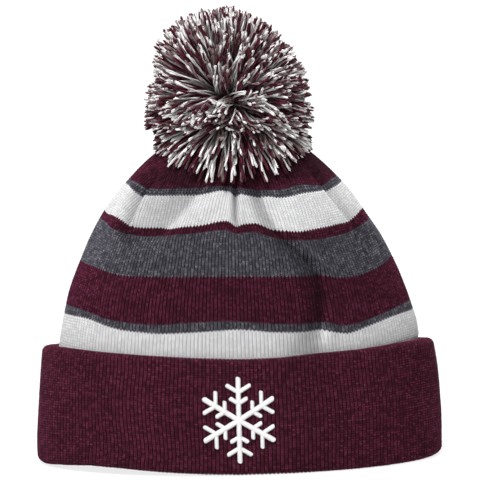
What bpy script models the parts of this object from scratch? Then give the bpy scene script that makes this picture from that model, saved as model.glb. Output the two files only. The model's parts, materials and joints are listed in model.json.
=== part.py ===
"""Pom pom beanie: a double-layer knitted hat with coloured stripes, a turned-up cuff with an
embroidered snowflake, and a yarn pom tied through the eye of its crown.

Metres, +Z up. The hat stands on the bottom fold of its cuff at Z = 0, its front faces -Y, and
its vertical axis is the Z axis. Every section of the hat is an ellipse, wider from ear to ear
(X) than from brow to nape (Y).
"""

import math

import bmesh
import bpy
from mathutils import Matrix, Vector

# ------------------------------------------------------------------ driving dimensions
COLUMNS = 48                      # facets round the hat; each dart falls on a column

# the knitted body, measured on its outer face
BODY_HALF_WIDTH = 0.1098          # half the width from ear to ear, at the brow
BODY_HEIGHT = 0.2020              # from the rim to the top of the crown
HEIGHT_POWER = 3.0                # how late the side turns in towards the crown
WIDTH_POWER = 0.60                # how round the top of the crown is
STRAIGHT_TO = 0.0600              # below this height the side stands straight, inside the cuff
DEPTH_RATIO_RIM = 0.60            # depth over width at the rim
DEPTH_RATIO_CROWN = 0.80          # and at the crown
OUTER_LAYER = 0.0022              # thickness of the outer knitted layer
LINING_LAYER = 0.0020             # thickness of the inner knitted layer
LAYER_GAP = 0.0007                # air between two layers of knit
YARN_GAP = 0.0003                 # gap between two stripes that are looped together

# darts that draw the crown in, at angles round from the front
DART_ANGLES = (0.0, 52.5, 127.5, 180.0, 232.5, 307.5)
DART_DEPTH = 0.0024
DART_FROM = 0.142                 # height where a dart starts
DART_FULL = 0.176                 # height where it is at its full depth

# stripes, as the height of each lower border at the front; the borders climb towards the ears
SIDE_RISE = 0.0055
RIM_CLEARANCE = 0.0043            # lower edge of the body's layers, above the cuff's fold
HEM_TOP = 0.0615
WHITE_LOWER_TOP = 0.0838
GREY_THIN_LOWER_TOP = 0.0886
MAROON_WIDE_TOP = 0.1157
GREY_WIDE_TOP = 0.1405
MAROON_THIN_TOP = 0.1445
WHITE_UPPER_TOP = 0.1625
GREY_THIN_UPPER_TOP = 0.1665
EYE_HALF_WIDTH = 0.0050           # the gathered eye at the top of the crown

# the turned-up cuff, as distances out from the body's face
CUFF_HEIGHT = 0.0692
CUFF_LAYER = 0.0036               # thickness of each of its two layers
CUFF_CLEARANCE = 0.0010           # between the body and the cuff
CUFF_OUT_TOP = 0.0095             # outer face at the top edge
CUFF_OUT_BOTTOM = 0.0137          # outer face just above the bottom fold
CUFF_TOP_RADIUS = 0.00425         # fold along the top edge
CUFF_BOTTOM_RADIUS = 0.0055       # fold along the bottom edge
CUFF_LIP_IN = OUTER_LAYER + LAYER_GAP + LINING_LAYER   # inner edge of the bottom fold

# snowflake emblem on the front of the cuff
EMBLEM_HEIGHT = 0.0335            # its centre above the rim
EMBLEM_RADIUS = 0.0255
EMBLEM_ARM_HALF = 0.0015
EMBLEM_BRANCHES = ((0.0085, 0.0046), (0.0150, 0.0070))  # where each pair starts, and its length
EMBLEM_BRANCH_HALF = 0.0012
EMBLEM_THICKNESS = 0.0011
EMBLEM_BEND_STEP = 0.006
STABILIZER_SIZE = (0.060, 0.044)
STABILIZER_THICKNESS = 0.0004

# the pom and its tie
PIVOT_HEIGHT = 0.2050             # knot at the crown's eye that the pom turns about
POM_CENTRE = 0.2150
POM_RADIUS = 0.0505
POM_UP = 0.0600                   # from its centre to its top
POM_DOWN = 0.0500
POM_FLOOR = 0.2062                # underside of the pom's free strands
POM_TUFTS = 6
TUFT_GAP = 0.0003
CORE_RADIUS = 0.0085
CORE_NECK = 0.0045
CORE_CLEARANCE = 0.0006
KNOT_RADIUS = 0.0028
SOCKET_RADIUS = 0.0033
TIE_RADIUS = 0.0011
TIE_BOTTOM = 0.1930
ANCHOR_RADIUS = 0.0036
ANCHOR_HEIGHT = 0.1888
SKIRT_COLUMNS = 32                # strands of the pom that lie on the crown
SKIRT_INNER = 0.0115
SKIRT_OUTER = 0.0450
SKIRT_TOP = 0.2056
SKIRT_LIFT = 0.0014

# sewing thread
THREAD_RADIUS = 0.0006
THREAD_POINTS = 9
THREAD_DEPTH = CUFF_LIP_IN + 0.0013
THREAD_LOW = 0.146
THREAD_HIGH = 0.1955
STITCH_RING_RADIUS = 0.0072

MAROON = (0.060, 0.012, 0.024)
GREY = (0.075, 0.068, 0.084)
WHITE = (0.610, 0.605, 0.600)


# ------------------------------------------------------------------ scene helpers
def start_clean():
    for old in list(bpy.data.objects):
        bpy.data.objects.remove(old, do_unlink=True)
    for old in list(bpy.data.collections):
        bpy.data.collections.remove(old)


def new_collection(name):
    made = bpy.data.collections.new(name)
    bpy.context.scene.collection.children.link(made)
    return made


def yarn_material(name, colour, roughness=0.9):
    made = bpy.data.materials.new(name)
    made.use_nodes = True
    shader = made.node_tree.nodes["Principled BSDF"]
    shader.inputs["Base Color"].default_value = (*colour, 1.0)
    shader.inputs["Roughness"].default_value = roughness
    shader.inputs["Metallic"].default_value = 0.0
    return made


def add_object(name, data, collection, colour=None):
    made = bpy.data.objects.new(name, data)
    collection.objects.link(made)
    if colour is not None:
        data.materials.append(yarn_material(name + "_yarn", colour))
    return made


def mesh_object(name, bm, collection, colour=None):
    data = bpy.data.meshes.new(name)
    bm.to_mesh(data)
    bm.free()
    return add_object(name, data, collection, colour)


def hang_from(pivot, *pieces):
    """Pieces turn or slide with the empty that stands on their joint."""
    bpy.context.view_layer.update()
    for piece in pieces:
        piece.parent = pivot
        piece.matrix_parent_inverse = pivot.matrix_world.inverted()


# ------------------------------------------------------------------ the hat's form
def smooth_step(value):
    value = min(1.0, max(0.0, value))
    return value * value * (3.0 - 2.0 * value)


def half_width(z):
    z = max(z, STRAIGHT_TO)
    return BODY_HALF_WIDTH * (1.0 - (z / BODY_HEIGHT) ** HEIGHT_POWER) ** WIDTH_POWER


def height_at(width):
    """Height where the body's half width has drawn in to this."""
    return BODY_HEIGHT * (1.0 - (width / BODY_HALF_WIDTH) ** (1.0 / WIDTH_POWER)) ** (1.0 / HEIGHT_POWER)


def depth_ratio(z):
    share = max(z, STRAIGHT_TO) / BODY_HEIGHT
    return DEPTH_RATIO_RIM + (DEPTH_RATIO_CROWN - DEPTH_RATIO_RIM) * share ** 3


def smooth_point(turn, z):
    """A point on the body's outer face, turn radians round from the front towards +X."""
    a = half_width(z)
    return Vector((a * math.sin(turn), -a * depth_ratio(z) * math.cos(turn), z))


def outward(turn, z):
    step = 1e-4
    round_way = smooth_point(turn + step, z) - smooth_point(turn - step, z)
    up_way = smooth_point(turn, z + step) - smooth_point(turn, z - step)
    return round_way.cross(up_way).normalized()


def dart_pull(turn, z):
    """How far a dart draws the knit in; a crease one column wide on each side of its line."""
    deep = DART_DEPTH * smooth_step((z - DART_FROM) / (DART_FULL - DART_FROM))
    deep = min(deep, 0.10 * half_width(z))
    near = min(abs((math.degrees(turn) - dart + 180.0) % 360.0 - 180.0) for dart in DART_ANGLES)
    return deep * max(0.0, 1.0 - near / 7.0)


def body_point(turn, z, below=0.0):
    """A point this far under the body's outer face."""
    return smooth_point(turn, z) - outward(turn, z) * (below + dart_pull(turn, z))


def hem_point(turn, out, z):
    """A point this far out from the straight lower part of the body."""
    base = smooth_point(turn, STRAIGHT_TO)
    depth = half_width(STRAIGHT_TO) * depth_ratio(STRAIGHT_TO)
    way = Vector((math.sin(turn) * depth, -math.cos(turn) * half_width(STRAIGHT_TO), 0.0)).normalized()
    return Vector((base.x, base.y, z)) + way * out


def crown_height(x, y):
    """Height of the crown's outer face over a point of the plan."""
    low, high = STRAIGHT_TO, BODY_HEIGHT - 1e-6
    for _ in range(50):
        z = 0.5 * (low + high)
        a = half_width(z)
        inside = (x / a) ** 2 + (y / (a * depth_ratio(z))) ** 2 < 1.0
        low, high = (z, high) if inside else (low, z)
    return 0.5 * (low + high)


def rows_between(low, high, count):
    """Heights that divide the side of the body into rows of equal length along the knit."""
    fine = [low + (high - low) * i / 400.0 for i in range(401)]
    run = [0.0]
    for first, second in zip(fine, fine[1:]):
        run.append(run[-1] + math.hypot(second - first, half_width(second) - half_width(first)))
    heights, k = [], 0
    for i in range(count + 1):
        wanted = run[-1] * i / count
        while k < 399 and run[k + 1] < wanted:
            k += 1
        share = (wanted - run[k]) / max(1e-12, run[k + 1] - run[k])
        heights.append(fine[k] + (fine[k + 1] - fine[k]) * min(1.0, max(0.0, share)))
    return heights


# ------------------------------------------------------------------ builders
def wrapped_grid(name, columns, rows, point, collection, colour, closed_rows=False):
    """A grid wrapped round the hat: point(turn, row) places each vertex. With closed_rows the
    last row is the first again, so the grid becomes a closed ring."""
    bm = bmesh.new()
    bmesh.ops.create_grid(bm, x_segments=columns, y_segments=rows, size=0.5)
    for vert in bm.verts:
        column = round((vert.co.x + 0.5) * columns)
        row = round((vert.co.y + 0.5) * rows)
        if closed_rows:
            row %= rows
        vert.co = point(2.0 * math.pi * (column % columns) / columns, row)
    bmesh.ops.remove_doubles(bm, verts=bm.verts, dist=1e-6)
    bmesh.ops.recalc_face_normals(bm, faces=bm.faces)
    return mesh_object(name, bm, collection, colour)


def face_outwards(obj, centre_height):
    """Turn an open tube's faces away from the hat's axis."""
    bm = bmesh.new()
    bm.from_mesh(obj.data)
    bm.faces.ensure_lookup_table()
    score = sum((f.calc_center_median() - Vector((0, 0, centre_height))).dot(f.normal) for f in bm.faces)
    if score < 0:
        bmesh.ops.reverse_faces(bm, faces=bm.faces)
    bm.to_mesh(obj.data)
    bm.free()


def thicken(obj, thickness, offset):
    layer = obj.modifiers.new("knit_thickness", "SOLIDIFY")
    layer.thickness = thickness
    layer.offset = offset
    layer.use_even_offset = False


def knit_band(name, low, high, low_rise, high_rise, rows, collection, colour):
    """One stripe: the outer layer between two borders that climb towards the ears."""
    heights = rows_between(low, high, rows)

    def point(turn, row):
        share = row / rows
        climb = (low_rise + (high_rise - low_rise) * share) * math.sin(turn) ** 2
        z = heights[row] + climb + YARN_GAP * (0.5 - share)
        return body_point(turn, z, OUTER_LAYER)

    band = wrapped_grid(name, COLUMNS, rows, point, collection, colour)
    face_outwards(band, 0.5 * (low + high) - 0.05)
    thicken(band, OUTER_LAYER, 1.0)
    return band


def turned(name, profile, collection, colour=None, steps=16):
    """A turned solid from its profile, which runs down the outer side from the axis."""
    bm = bmesh.new()
    verts = [bm.verts.new((r, 0.0, z)) for r, z in profile]
    for first, second in zip(verts, verts[1:]):
        bm.edges.new((first, second))
    obj = mesh_object(name, bm, collection, colour)
    screw = obj.modifiers.new("turning", "SCREW")
    screw.angle = 2.0 * math.pi
    screw.steps = steps
    screw.render_steps = steps
    screw.use_merge_vertices = True
    screw.merge_threshold = 0.00001
    return obj


def arc(radius, height, start, end, count):
    """Points on a circle round (0, height), from one elevation to another, in degrees."""
    return [
        (radius * math.cos(math.radians(start + (end - start) * i / count)),
         height + radius * math.sin(math.radians(start + (end - start) * i / count)))
        for i in range(count + 1)
    ]


def thread(name, points, radius, collection, colour, cyclic=False):
    curve = bpy.data.curves.new(name, "CURVE")
    curve.dimensions = "3D"
    curve.bevel_depth = radius
    curve.bevel_resolution = 1
    curve.use_fill_caps = True
    spline = curve.splines.new("POLY")
    spline.points.add(len(points) - 1)
    for knot, place in zip(spline.points, points):
        knot.co = (*place, 1.0)
    spline.use_cyclic_u = cyclic
    return add_object(name, curve, collection, colour)


# ------------------------------------------------------------------ the cuff
def cuff_section():
    """The outer layer's outer face, as (out, height): over the top fold, down the side, and
    under the bottom fold to its inner lip."""
    points = []
    middle = CUFF_OUT_TOP - CUFF_TOP_RADIUS
    for i in range(5):
        angle = math.radians(180.0 - 45.0 * i)
        points.append((middle + CUFF_TOP_RADIUS * math.cos(angle),
                       CUFF_HEIGHT - CUFF_TOP_RADIUS + CUFF_TOP_RADIUS * math.sin(angle)))
    for share in (0.36, 0.70):
        points.append((cuff_out(CUFF_HEIGHT * (1.0 - share)), CUFF_HEIGHT * (1.0 - share)))
    centre = CUFF_OUT_BOTTOM - CUFF_BOTTOM_RADIUS
    for i in range(4):
        angle = math.radians(-30.0 * i)
        points.append((centre + CUFF_BOTTOM_RADIUS * math.cos(angle),
                       CUFF_BOTTOM_RADIUS + CUFF_BOTTOM_RADIUS * math.sin(angle)))
    points.append((0.5 * (centre - CUFF_LIP_IN), 0.0))
    points.append((-CUFF_LIP_IN, 0.0))
    return points


def cuff_out(z):
    """Distance of the cuff's outer face from the body, between its two folds."""
    low, high = CUFF_BOTTOM_RADIUS, CUFF_HEIGHT - CUFF_TOP_RADIUS
    share = (z - low) / (high - low)
    return CUFF_OUT_BOTTOM + (CUFF_OUT_TOP - CUFF_OUT_BOTTOM) * share


def build_cuff(parts):
    section = cuff_section()
    outer = wrapped_grid("cuff_outer_layer", COLUMNS, len(section) - 1,
                         lambda turn, row: hem_point(turn, *section[row]), parts, MAROON)
    # the lowest row of faces lies flat, so its normals say which way the whole layer faces
    bm = bmesh.new()
    bm.from_mesh(outer.data)
    bm.faces.ensure_lookup_table()
    flat = min(bm.faces, key=lambda f: f.calc_center_median().z)
    if flat.normal.z > 0:
        bmesh.ops.reverse_faces(bm, faces=bm.faces)
    bm.to_mesh(outer.data)
    bm.free()
    thicken(outer, CUFF_LAYER, -1.0)
    outer.modifiers["knit_thickness"].use_even_offset = True

    low = CUFF_LAYER + LAYER_GAP
    high = CUFF_HEIGHT - CUFF_TOP_RADIUS - CUFF_LAYER / 2 - LAYER_GAP
    inner = wrapped_grid("cuff_inner_layer", COLUMNS, 2,
                         lambda turn, row: hem_point(turn, CUFF_CLEARANCE, low + (high - low) * row / 2),
                         parts, MAROON)
    face_outwards(inner, 0.5 * (low + high))
    thicken(inner, CUFF_LAYER, 1.0)
    return outer, inner


def snowflake_outline():
    """Six equal arms, each with two pairs of branches that leave it at 60 degrees."""
    h, b = EMBLEM_ARM_HALF, EMBLEM_BRANCH_HALF
    out, across = Vector((math.sin(math.radians(60)), 0.5)), Vector((-0.5, math.sin(math.radians(60))))
    side = [Vector((h, h / math.tan(math.radians(30))))]
    for start, length in EMBLEM_BRANCHES:
        root = Vector((h, start))
        side += [root, root + out * length, root + out * length + across * (2 * b),
                 Vector((h, start + 2 * b / math.sin(math.radians(60))))]
    side.append(Vector((h, EMBLEM_RADIUS - h)))
    arm = [Vector((-p.x, p.y)) for p in side[1:]] + [Vector((0.0, EMBLEM_RADIUS))] + side[::-1]
    outline = []
    for i in range(6):
        outline += [Matrix.Rotation(-math.radians(60 * i), 2) @ p for p in arm]
    return outline


def build_emblem(parts):
    curve = bpy.data.curves.new("snowflake_outline", "CURVE")
    curve.dimensions = "2D"
    curve.fill_mode = "BOTH"
    curve.extrude = EMBLEM_THICKNESS / 2
    spline = curve.splines.new("POLY")
    outline = snowflake_outline()
    spline.points.add(len(outline) - 1)
    for knot, place in zip(spline.points, outline):
        knot.co = (place.x, place.y, 0.0, 1.0)
    spline.use_cyclic_u = True
    flat = bpy.data.objects.new("snowflake_flat", curve)
    parts.objects.link(flat)
    bpy.context.view_layer.update()
    data = bpy.data.meshes.new_from_object(flat.evaluated_get(bpy.context.evaluated_depsgraph_get()))
    bpy.data.objects.remove(flat, do_unlink=True)

    bm = bmesh.new()
    bm.from_mesh(data)
    bpy.data.meshes.remove(data)
    bmesh.ops.remove_doubles(bm, verts=bm.verts, dist=1e-6)
    cut = -math.floor(EMBLEM_RADIUS / EMBLEM_BEND_STEP) * EMBLEM_BEND_STEP
    while cut < EMBLEM_RADIUS:
        bmesh.ops.bisect_plane(bm, geom=bm.verts[:] + bm.edges[:] + bm.faces[:],
                               plane_co=(cut + 0.0003, 0, 0), plane_no=(1, 0, 0))
        cut += EMBLEM_BEND_STEP
    reach = half_width(STRAIGHT_TO) + CUFF_OUT_BOTTOM
    for vert in bm.verts:
        z = EMBLEM_HEIGHT + vert.co.y
        out = cuff_out(z) + LAYER_GAP + EMBLEM_THICKNESS / 2 + vert.co.z
        vert.co = hem_point(vert.co.x / reach, out, z)
    bmesh.ops.triangulate(bm, faces=bm.faces)
    bmesh.ops.recalc_face_normals(bm, faces=bm.faces)
    emblem = mesh_object("cuff_emblem", bm, parts, WHITE)

    wide, tall = STABILIZER_SIZE
    bm = bmesh.new()
    bmesh.ops.create_grid(bm, x_segments=8, y_segments=2, size=0.5)
    for vert in bm.verts:
        z = EMBLEM_HEIGHT + vert.co.y * tall
        out = cuff_out(z) - CUFF_LAYER - 0.0007
        vert.co = hem_point(vert.co.x * wide / reach, out, z)
    bmesh.ops.recalc_face_normals(bm, faces=bm.faces)
    stabilizer = mesh_object("emblem_stabilizer", bm, parts, WHITE)
    stabilizer.modifiers.new("sheet", "SOLIDIFY").thickness = STABILIZER_THICKNESS
    stabilizer.modifiers["sheet"].offset = 0.0
    return emblem, stabilizer


# ------------------------------------------------------------------ the body
def build_body(parts):
    eye = height_at(EYE_HALF_WIDTH)
    bands = (
        ("hem_band", RIM_CLEARANCE, HEM_TOP, 0.0, SIDE_RISE, 4, MAROON),
        ("stripe_white_lower", HEM_TOP, WHITE_LOWER_TOP, SIDE_RISE, SIDE_RISE, 2, WHITE),
        ("stripe_grey_thin_lower", WHITE_LOWER_TOP, GREY_THIN_LOWER_TOP, SIDE_RISE, SIDE_RISE, 1, GREY),
        ("stripe_maroon_wide", GREY_THIN_LOWER_TOP, MAROON_WIDE_TOP, SIDE_RISE, SIDE_RISE, 2, MAROON),
        ("stripe_grey_wide", MAROON_WIDE_TOP, GREY_WIDE_TOP, SIDE_RISE, SIDE_RISE, 2, GREY),
        ("stripe_maroon_thin", GREY_WIDE_TOP, MAROON_THIN_TOP, SIDE_RISE, SIDE_RISE, 1, MAROON),
        ("stripe_white_upper", MAROON_THIN_TOP, WHITE_UPPER_TOP, SIDE_RISE, SIDE_RISE, 2, WHITE),
        ("stripe_grey_thin_upper", WHITE_UPPER_TOP, GREY_THIN_UPPER_TOP, SIDE_RISE, SIDE_RISE, 1, GREY),
        ("crown_band", GREY_THIN_UPPER_TOP, eye, SIDE_RISE, 0.0, 6, MAROON),
    )
    for name, low, high, low_rise, high_rise, rows, colour in bands:
        knit_band(name, low, high, low_rise, high_rise, rows, parts, colour)

    rows = 12
    heights = [RIM_CLEARANCE] + rows_between(STRAIGHT_TO, eye, rows - 1)
    lining = wrapped_grid("lining", COLUMNS, rows,
                          lambda turn, row: body_point(turn, heights[row], OUTER_LAYER + LAYER_GAP),
                          parts, MAROON)
    face_outwards(lining, 0.08)
    thicken(lining, LINING_LAYER, -1.0)

    for number, dart in enumerate(DART_ANGLES, 1):
        line = rows_between(THREAD_LOW, THREAD_HIGH, THREAD_POINTS - 1)
        points = [body_point(math.radians(dart), z, THREAD_DEPTH) for z in line]
        thread(f"crown_seam_thread_{number}", points, THREAD_RADIUS, parts, MAROON)

    ring_height = crown_height(STITCH_RING_RADIUS, 0.0) + THREAD_RADIUS + YARN_GAP
    ring = [(STITCH_RING_RADIUS * math.cos(2 * math.pi * i / 16),
             STITCH_RING_RADIUS * math.sin(2 * math.pi * i / 16), ring_height) for i in range(16)]
    thread("crown_closing_stitch", ring, THREAD_RADIUS, parts, MAROON, cyclic=True)


# ------------------------------------------------------------------ the pom
def pom_tuft(name, first_angle, colour, parts, core_cutter):
    """One bunch of the pom's yarn: a sector of the ball, flat underneath."""
    bm = bmesh.new()
    bmesh.ops.create_uvsphere(bm, u_segments=24, v_segments=12, radius=1.0)
    for vert in bm.verts:
        tall = POM_UP if vert.co.z > 0 else POM_DOWN
        vert.co = Vector((vert.co.x * POM_RADIUS, vert.co.y * POM_RADIUS, POM_CENTRE + vert.co.z * tall))
    wide = 2.0 * math.pi / POM_TUFTS
    sides = []
    for angle, way in ((first_angle, 1.0), (first_angle + wide, -1.0)):
        normal = Vector((-math.sin(angle), math.cos(angle), 0.0)) * way
        sides.append((normal * TUFT_GAP / 2, normal))
    sides.append((Vector((0, 0, POM_FLOOR)), Vector((0, 0, 1))))
    for place, normal in sides:
        bmesh.ops.bisect_plane(bm, geom=bm.verts[:] + bm.edges[:] + bm.faces[:],
                               plane_co=place, plane_no=normal, clear_inner=True)
        rim = [e for e in bm.edges if e.is_boundary]
        bmesh.ops.contextual_create(bm, geom=rim)
    bmesh.ops.recalc_face_normals(bm, faces=bm.faces)
    tuft = mesh_object(name, bm, parts, colour)
    cut = tuft.modifiers.new("room_for_the_binding", "BOOLEAN")
    cut.operation = "DIFFERENCE"
    cut.solver = "EXACT"
    cut.object = core_cutter
    return tuft


def build_pom(parts, cutters):
    grown = CORE_RADIUS + CORE_CLEARANCE
    neck = CORE_NECK + CORE_CLEARANCE
    foot = -math.degrees(math.acos(neck / grown))
    profile = arc(grown, POM_CENTRE, 90.0, foot, 8) + [(neck, POM_FLOOR - 0.003), (0.0, POM_FLOOR - 0.003)]
    profile[0] = (0.0, profile[0][1])
    core_cutter = turned("binding_cutter", profile, cutters)
    core_cutter.hide_render = True
    core_cutter.display_type = "WIRE"

    colours = (("maroon", MAROON), ("white", WHITE), ("grey", GREY))
    tufts = []
    for i in range(POM_TUFTS):
        word, colour = colours[i % 3]
        angle = math.radians(7.5 + 360.0 * i / POM_TUFTS)
        tufts.append(pom_tuft(f"pom_tuft_{word}_{1 + i // 3}", angle, colour, parts, core_cutter))

    foot = -math.degrees(math.acos(CORE_NECK / CORE_RADIUS))
    lip = PIVOT_HEIGHT + 0.0013
    lip_angle = math.degrees(math.asin((lip - PIVOT_HEIGHT) / SOCKET_RADIUS))
    profile = (arc(CORE_RADIUS, POM_CENTRE, 90.0, foot, 8) + [(CORE_NECK, lip)]
               + arc(SOCKET_RADIUS, PIVOT_HEIGHT, lip_angle, 90.0, 4))
    profile[0] = (0.0, profile[0][1])
    profile[-1] = (0.0, profile[-1][1])
    binding = turned("pom_binding", profile, parts, MAROON)

    foot = -math.degrees(math.acos(TIE_RADIUS / KNOT_RADIUS))
    profile = arc(KNOT_RADIUS, PIVOT_HEIGHT, 90.0, foot, 6) + [(TIE_RADIUS, TIE_BOTTOM), (0.0, TIE_BOTTOM)]
    profile[0] = (0.0, profile[0][1])
    tie = turned("pom_tie_yarn", profile, parts, MAROON, steps=12)

    bm = bmesh.new()
    bmesh.ops.create_uvsphere(bm, u_segments=12, v_segments=8, radius=ANCHOR_RADIUS)
    bmesh.ops.translate(bm, verts=bm.verts, vec=(0, 0, ANCHOR_HEIGHT))
    anchor = mesh_object("pom_anchor_knot", bm, parts, MAROON)

    # strands that lie down over the crown: a ring with the crown's form underneath
    def section(turn):
        way = Vector((math.sin(turn), -math.cos(turn), 0.0))

        def low(r):
            place = way * r
            return Vector((place.x, place.y, crown_height(place.x, place.y) + SKIRT_LIFT))

        step = (SKIRT_OUTER - SKIRT_INNER) / 3
        under = [low(SKIRT_INNER + step * i) for i in range(4)]
        edge = way * (POM_RADIUS - 0.0010)
        over = [Vector((edge.x, edge.y, SKIRT_TOP))]
        over += [way * r + Vector((0, 0, SKIRT_TOP)) for r in (0.030, SKIRT_INNER)]
        return under + over

    skirt = wrapped_grid("pom_lower_strands", SKIRT_COLUMNS, 7,
                         lambda turn, row: section(turn)[row], parts, MAROON, closed_rows=True)
    return tufts, binding, tie, anchor, skirt


# ------------------------------------------------------------------ assembly
def main():
    start_clean()
    parts = new_collection("pom_pom_beanie")
    cutters = new_collection("cutters")
    build_body(parts)
    cuff_outer, cuff_inner = build_cuff(parts)
    emblem, stabilizer = build_emblem(parts)
    tufts, binding, tie, anchor, _ = build_pom(parts, cutters)

    cuff_guide = bpy.data.objects.new("cuff_slide_axis", None)
    sway = bpy.data.objects.new("pom_sway_axis", None)
    nod = bpy.data.objects.new("pom_nod_axis", None)
    for empty in (cuff_guide, sway, nod):
        parts.objects.link(empty)
        empty.empty_display_size = 0.02
    sway.location = (0.0, 0.0, PIVOT_HEIGHT)
    nod.parent = sway
    hang_from(cuff_guide, cuff_outer, cuff_inner, emblem, stabilizer)
    hang_from(sway, tie, anchor)
    hang_from(nod, binding, *tufts)

    for obj in parts.objects:
        if obj.type == "MESH":
            obj.data.shade_smooth()
            obj.data.set_sharp_from_angle(angle=math.radians(35.0))


main()
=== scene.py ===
import json
import math

import bpy
import numpy as np
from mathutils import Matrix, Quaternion, Vector

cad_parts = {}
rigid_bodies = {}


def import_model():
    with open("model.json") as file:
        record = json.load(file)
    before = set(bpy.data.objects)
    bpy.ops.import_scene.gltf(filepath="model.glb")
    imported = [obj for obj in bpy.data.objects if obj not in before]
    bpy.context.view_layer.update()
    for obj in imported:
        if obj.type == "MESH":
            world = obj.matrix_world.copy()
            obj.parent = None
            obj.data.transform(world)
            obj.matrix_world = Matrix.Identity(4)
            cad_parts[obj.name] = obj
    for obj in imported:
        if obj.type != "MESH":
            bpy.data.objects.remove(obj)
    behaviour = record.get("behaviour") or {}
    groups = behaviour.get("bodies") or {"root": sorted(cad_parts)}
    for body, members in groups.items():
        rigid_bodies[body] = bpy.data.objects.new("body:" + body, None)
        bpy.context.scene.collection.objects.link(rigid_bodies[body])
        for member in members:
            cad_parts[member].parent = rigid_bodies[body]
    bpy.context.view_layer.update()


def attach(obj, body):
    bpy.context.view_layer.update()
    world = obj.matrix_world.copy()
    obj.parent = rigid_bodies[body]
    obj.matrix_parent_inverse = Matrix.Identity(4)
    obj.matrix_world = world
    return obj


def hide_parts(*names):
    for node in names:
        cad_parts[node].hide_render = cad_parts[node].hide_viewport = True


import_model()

RNG = np.random.default_rng(20611)

# ------------------------------------------------------------------ the hat's form, as in the CAD
OUTER_LAYER, LINING_LAYER, LAYER_GAP = 0.0022, 0.0020, 0.0007
STRAIGHT_TO, RIM, EYE_Z = 0.0600, 0.0043, 0.20162
CUFF_HEIGHT, CUFF_LAYER, CUFF_CLEARANCE = 0.0692, 0.0036, 0.0010
CUFF_OUT_TOP, CUFF_OUT_BOTTOM = 0.0095, 0.0137
CUFF_TOP_RADIUS, CUFF_BOTTOM_RADIUS, CUFF_LIP_IN = 0.00425, 0.0043, 0.0049
DARTS = np.array([0.0, 52.5, 127.5, 180.0, 232.5, 307.5])
EMBLEM_HEIGHT, EMBLEM_RADIUS, EMBLEM_ARM_HALF, EMBLEM_BRANCH_HALF = 0.0335, 0.0255, 0.0015, 0.0012
EMBLEM_BRANCHES = ((0.0085, 0.0046), (0.0150, 0.0070))
PIVOT_HEIGHT, POM_CENTRE, POM_RADIUS, POM_UP = 0.2050, 0.2150, 0.0505, 0.0600
POM_FLOOR, SKIRT_TOP = 0.2062, 0.2056

WALES = 240              # columns of knit stitches round the body
WALE_SPOTS = (0.0, 0.14, 0.32, 0.50, 0.68, 0.86)   # where a wale's six columns of vertices stand
COURSE = 0.0014          # height of one row of stitches


def half_width(z):
    z = np.maximum(z, STRAIGHT_TO)
    return 0.1098 * np.maximum(1.0 - (z / 0.2020) ** 3, 1e-9) ** 0.60


def depth_ratio(z):
    return 0.60 + 0.20 * (np.maximum(z, STRAIGHT_TO) / 0.2020) ** 3


def smooth(value):
    value = np.clip(value, 0.0, 1.0)
    return value * value * (3.0 - 2.0 * value)


def body_frame(turn, z):
    """Points on the body's outer face and their outward normals."""
    e = 2e-5
    a, b = half_width(z), half_width(z) * depth_ratio(z)
    a1, a0 = half_width(z + e), half_width(z - e)
    da = (a1 - a0) / (2 * e)
    db = (a1 * depth_ratio(z + e) - a0 * depth_ratio(z - e)) / (2 * e)
    s, c = np.sin(turn), np.cos(turn)
    place = np.stack([a * s, -b * c, z + 0 * s], -1)
    way = np.stack([b * s, -a * c, -a * c * c * db - b * s * s * da], -1)
    return place, way / np.linalg.norm(way, axis=-1, keepdims=True)


def hem_frame(turn):
    a = float(half_width(STRAIGHT_TO))
    b = a * float(depth_ratio(STRAIGHT_TO))
    s, c = np.sin(turn), np.cos(turn)
    way = np.stack([s * b, -c * a], -1)
    return np.stack([a * s, -b * c], -1), way / np.linalg.norm(way, axis=-1, keepdims=True)


def cuff_out(z):
    low, high = CUFF_BOTTOM_RADIUS, CUFF_HEIGHT - CUFF_TOP_RADIUS
    return CUFF_OUT_BOTTOM + (CUFF_OUT_TOP - CUFF_OUT_BOTTOM) * (z - low) / (high - low)


def around(turn, centre):
    """Signed difference of two angles, in degrees, from -180 to 180."""
    return (np.degrees(turn) - centre + 180.0) % 360.0 - 180.0


# soft creases as (degrees round, height) lines with a depth and a width in metres
CREASES = (
    (((55.0, 0.178), (56.0, 0.152), (59.0, 0.138), (64.0, 0.122)), 0.0042, 0.0016, 0.0060),
    (((-56.0, 0.180), (-52.0, 0.152), (-50.0, 0.134)), 0.0046, 0.0046, 0.0015),
    (((-17.0, 0.173), (-22.0, 0.1634), (-32.0, 0.145), (-38.0, 0.132)), 0.0044, 0.0110, 0.0062),
    (((12.0, 0.174), (12.8, 0.1616), (16.0, 0.145), (21.0, 0.135), (28.0, 0.1235), (31.3, 0.112), (31.0, 0.100), (28.0, 0.074)),
     0.0037, 0.0052, 0.0027),
    (((1.2, 0.174), (0.6, 0.152), (1.6, 0.1395)), 0.0050, 0.0014, 0.0014),
    (((-62.0, 0.118), (-58.0, 0.096), (-55.0, 0.078)), 0.0009, 0.0070, 0.0060),
    (((132.0, 0.165), (137.0, 0.140), (140.0, 0.118)), 0.0017, 0.0070, 0.0030),
    (((-128.0, 0.168), (-124.0, 0.142), (-120.0, 0.120)), 0.0015, 0.0030, 0.0060),
    (((178.0, 0.166), (176.0, 0.146), (170.0, 0.126)), 0.0016, 0.0060, 0.0026),
    (((160.0, 0.160), (152.0, 0.142), (150.0, 0.120)), 0.0013, 0.0080, 0.0040),
    (((-160.0, 0.162), (-165.0, 0.146), (-160.0, 0.126)), 0.0012, 0.0040, 0.0080),
    (((96.0, 0.120), (92.0, 0.100), (90.0, 0.080)), 0.0008, 0.0060, 0.0060),
)

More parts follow.
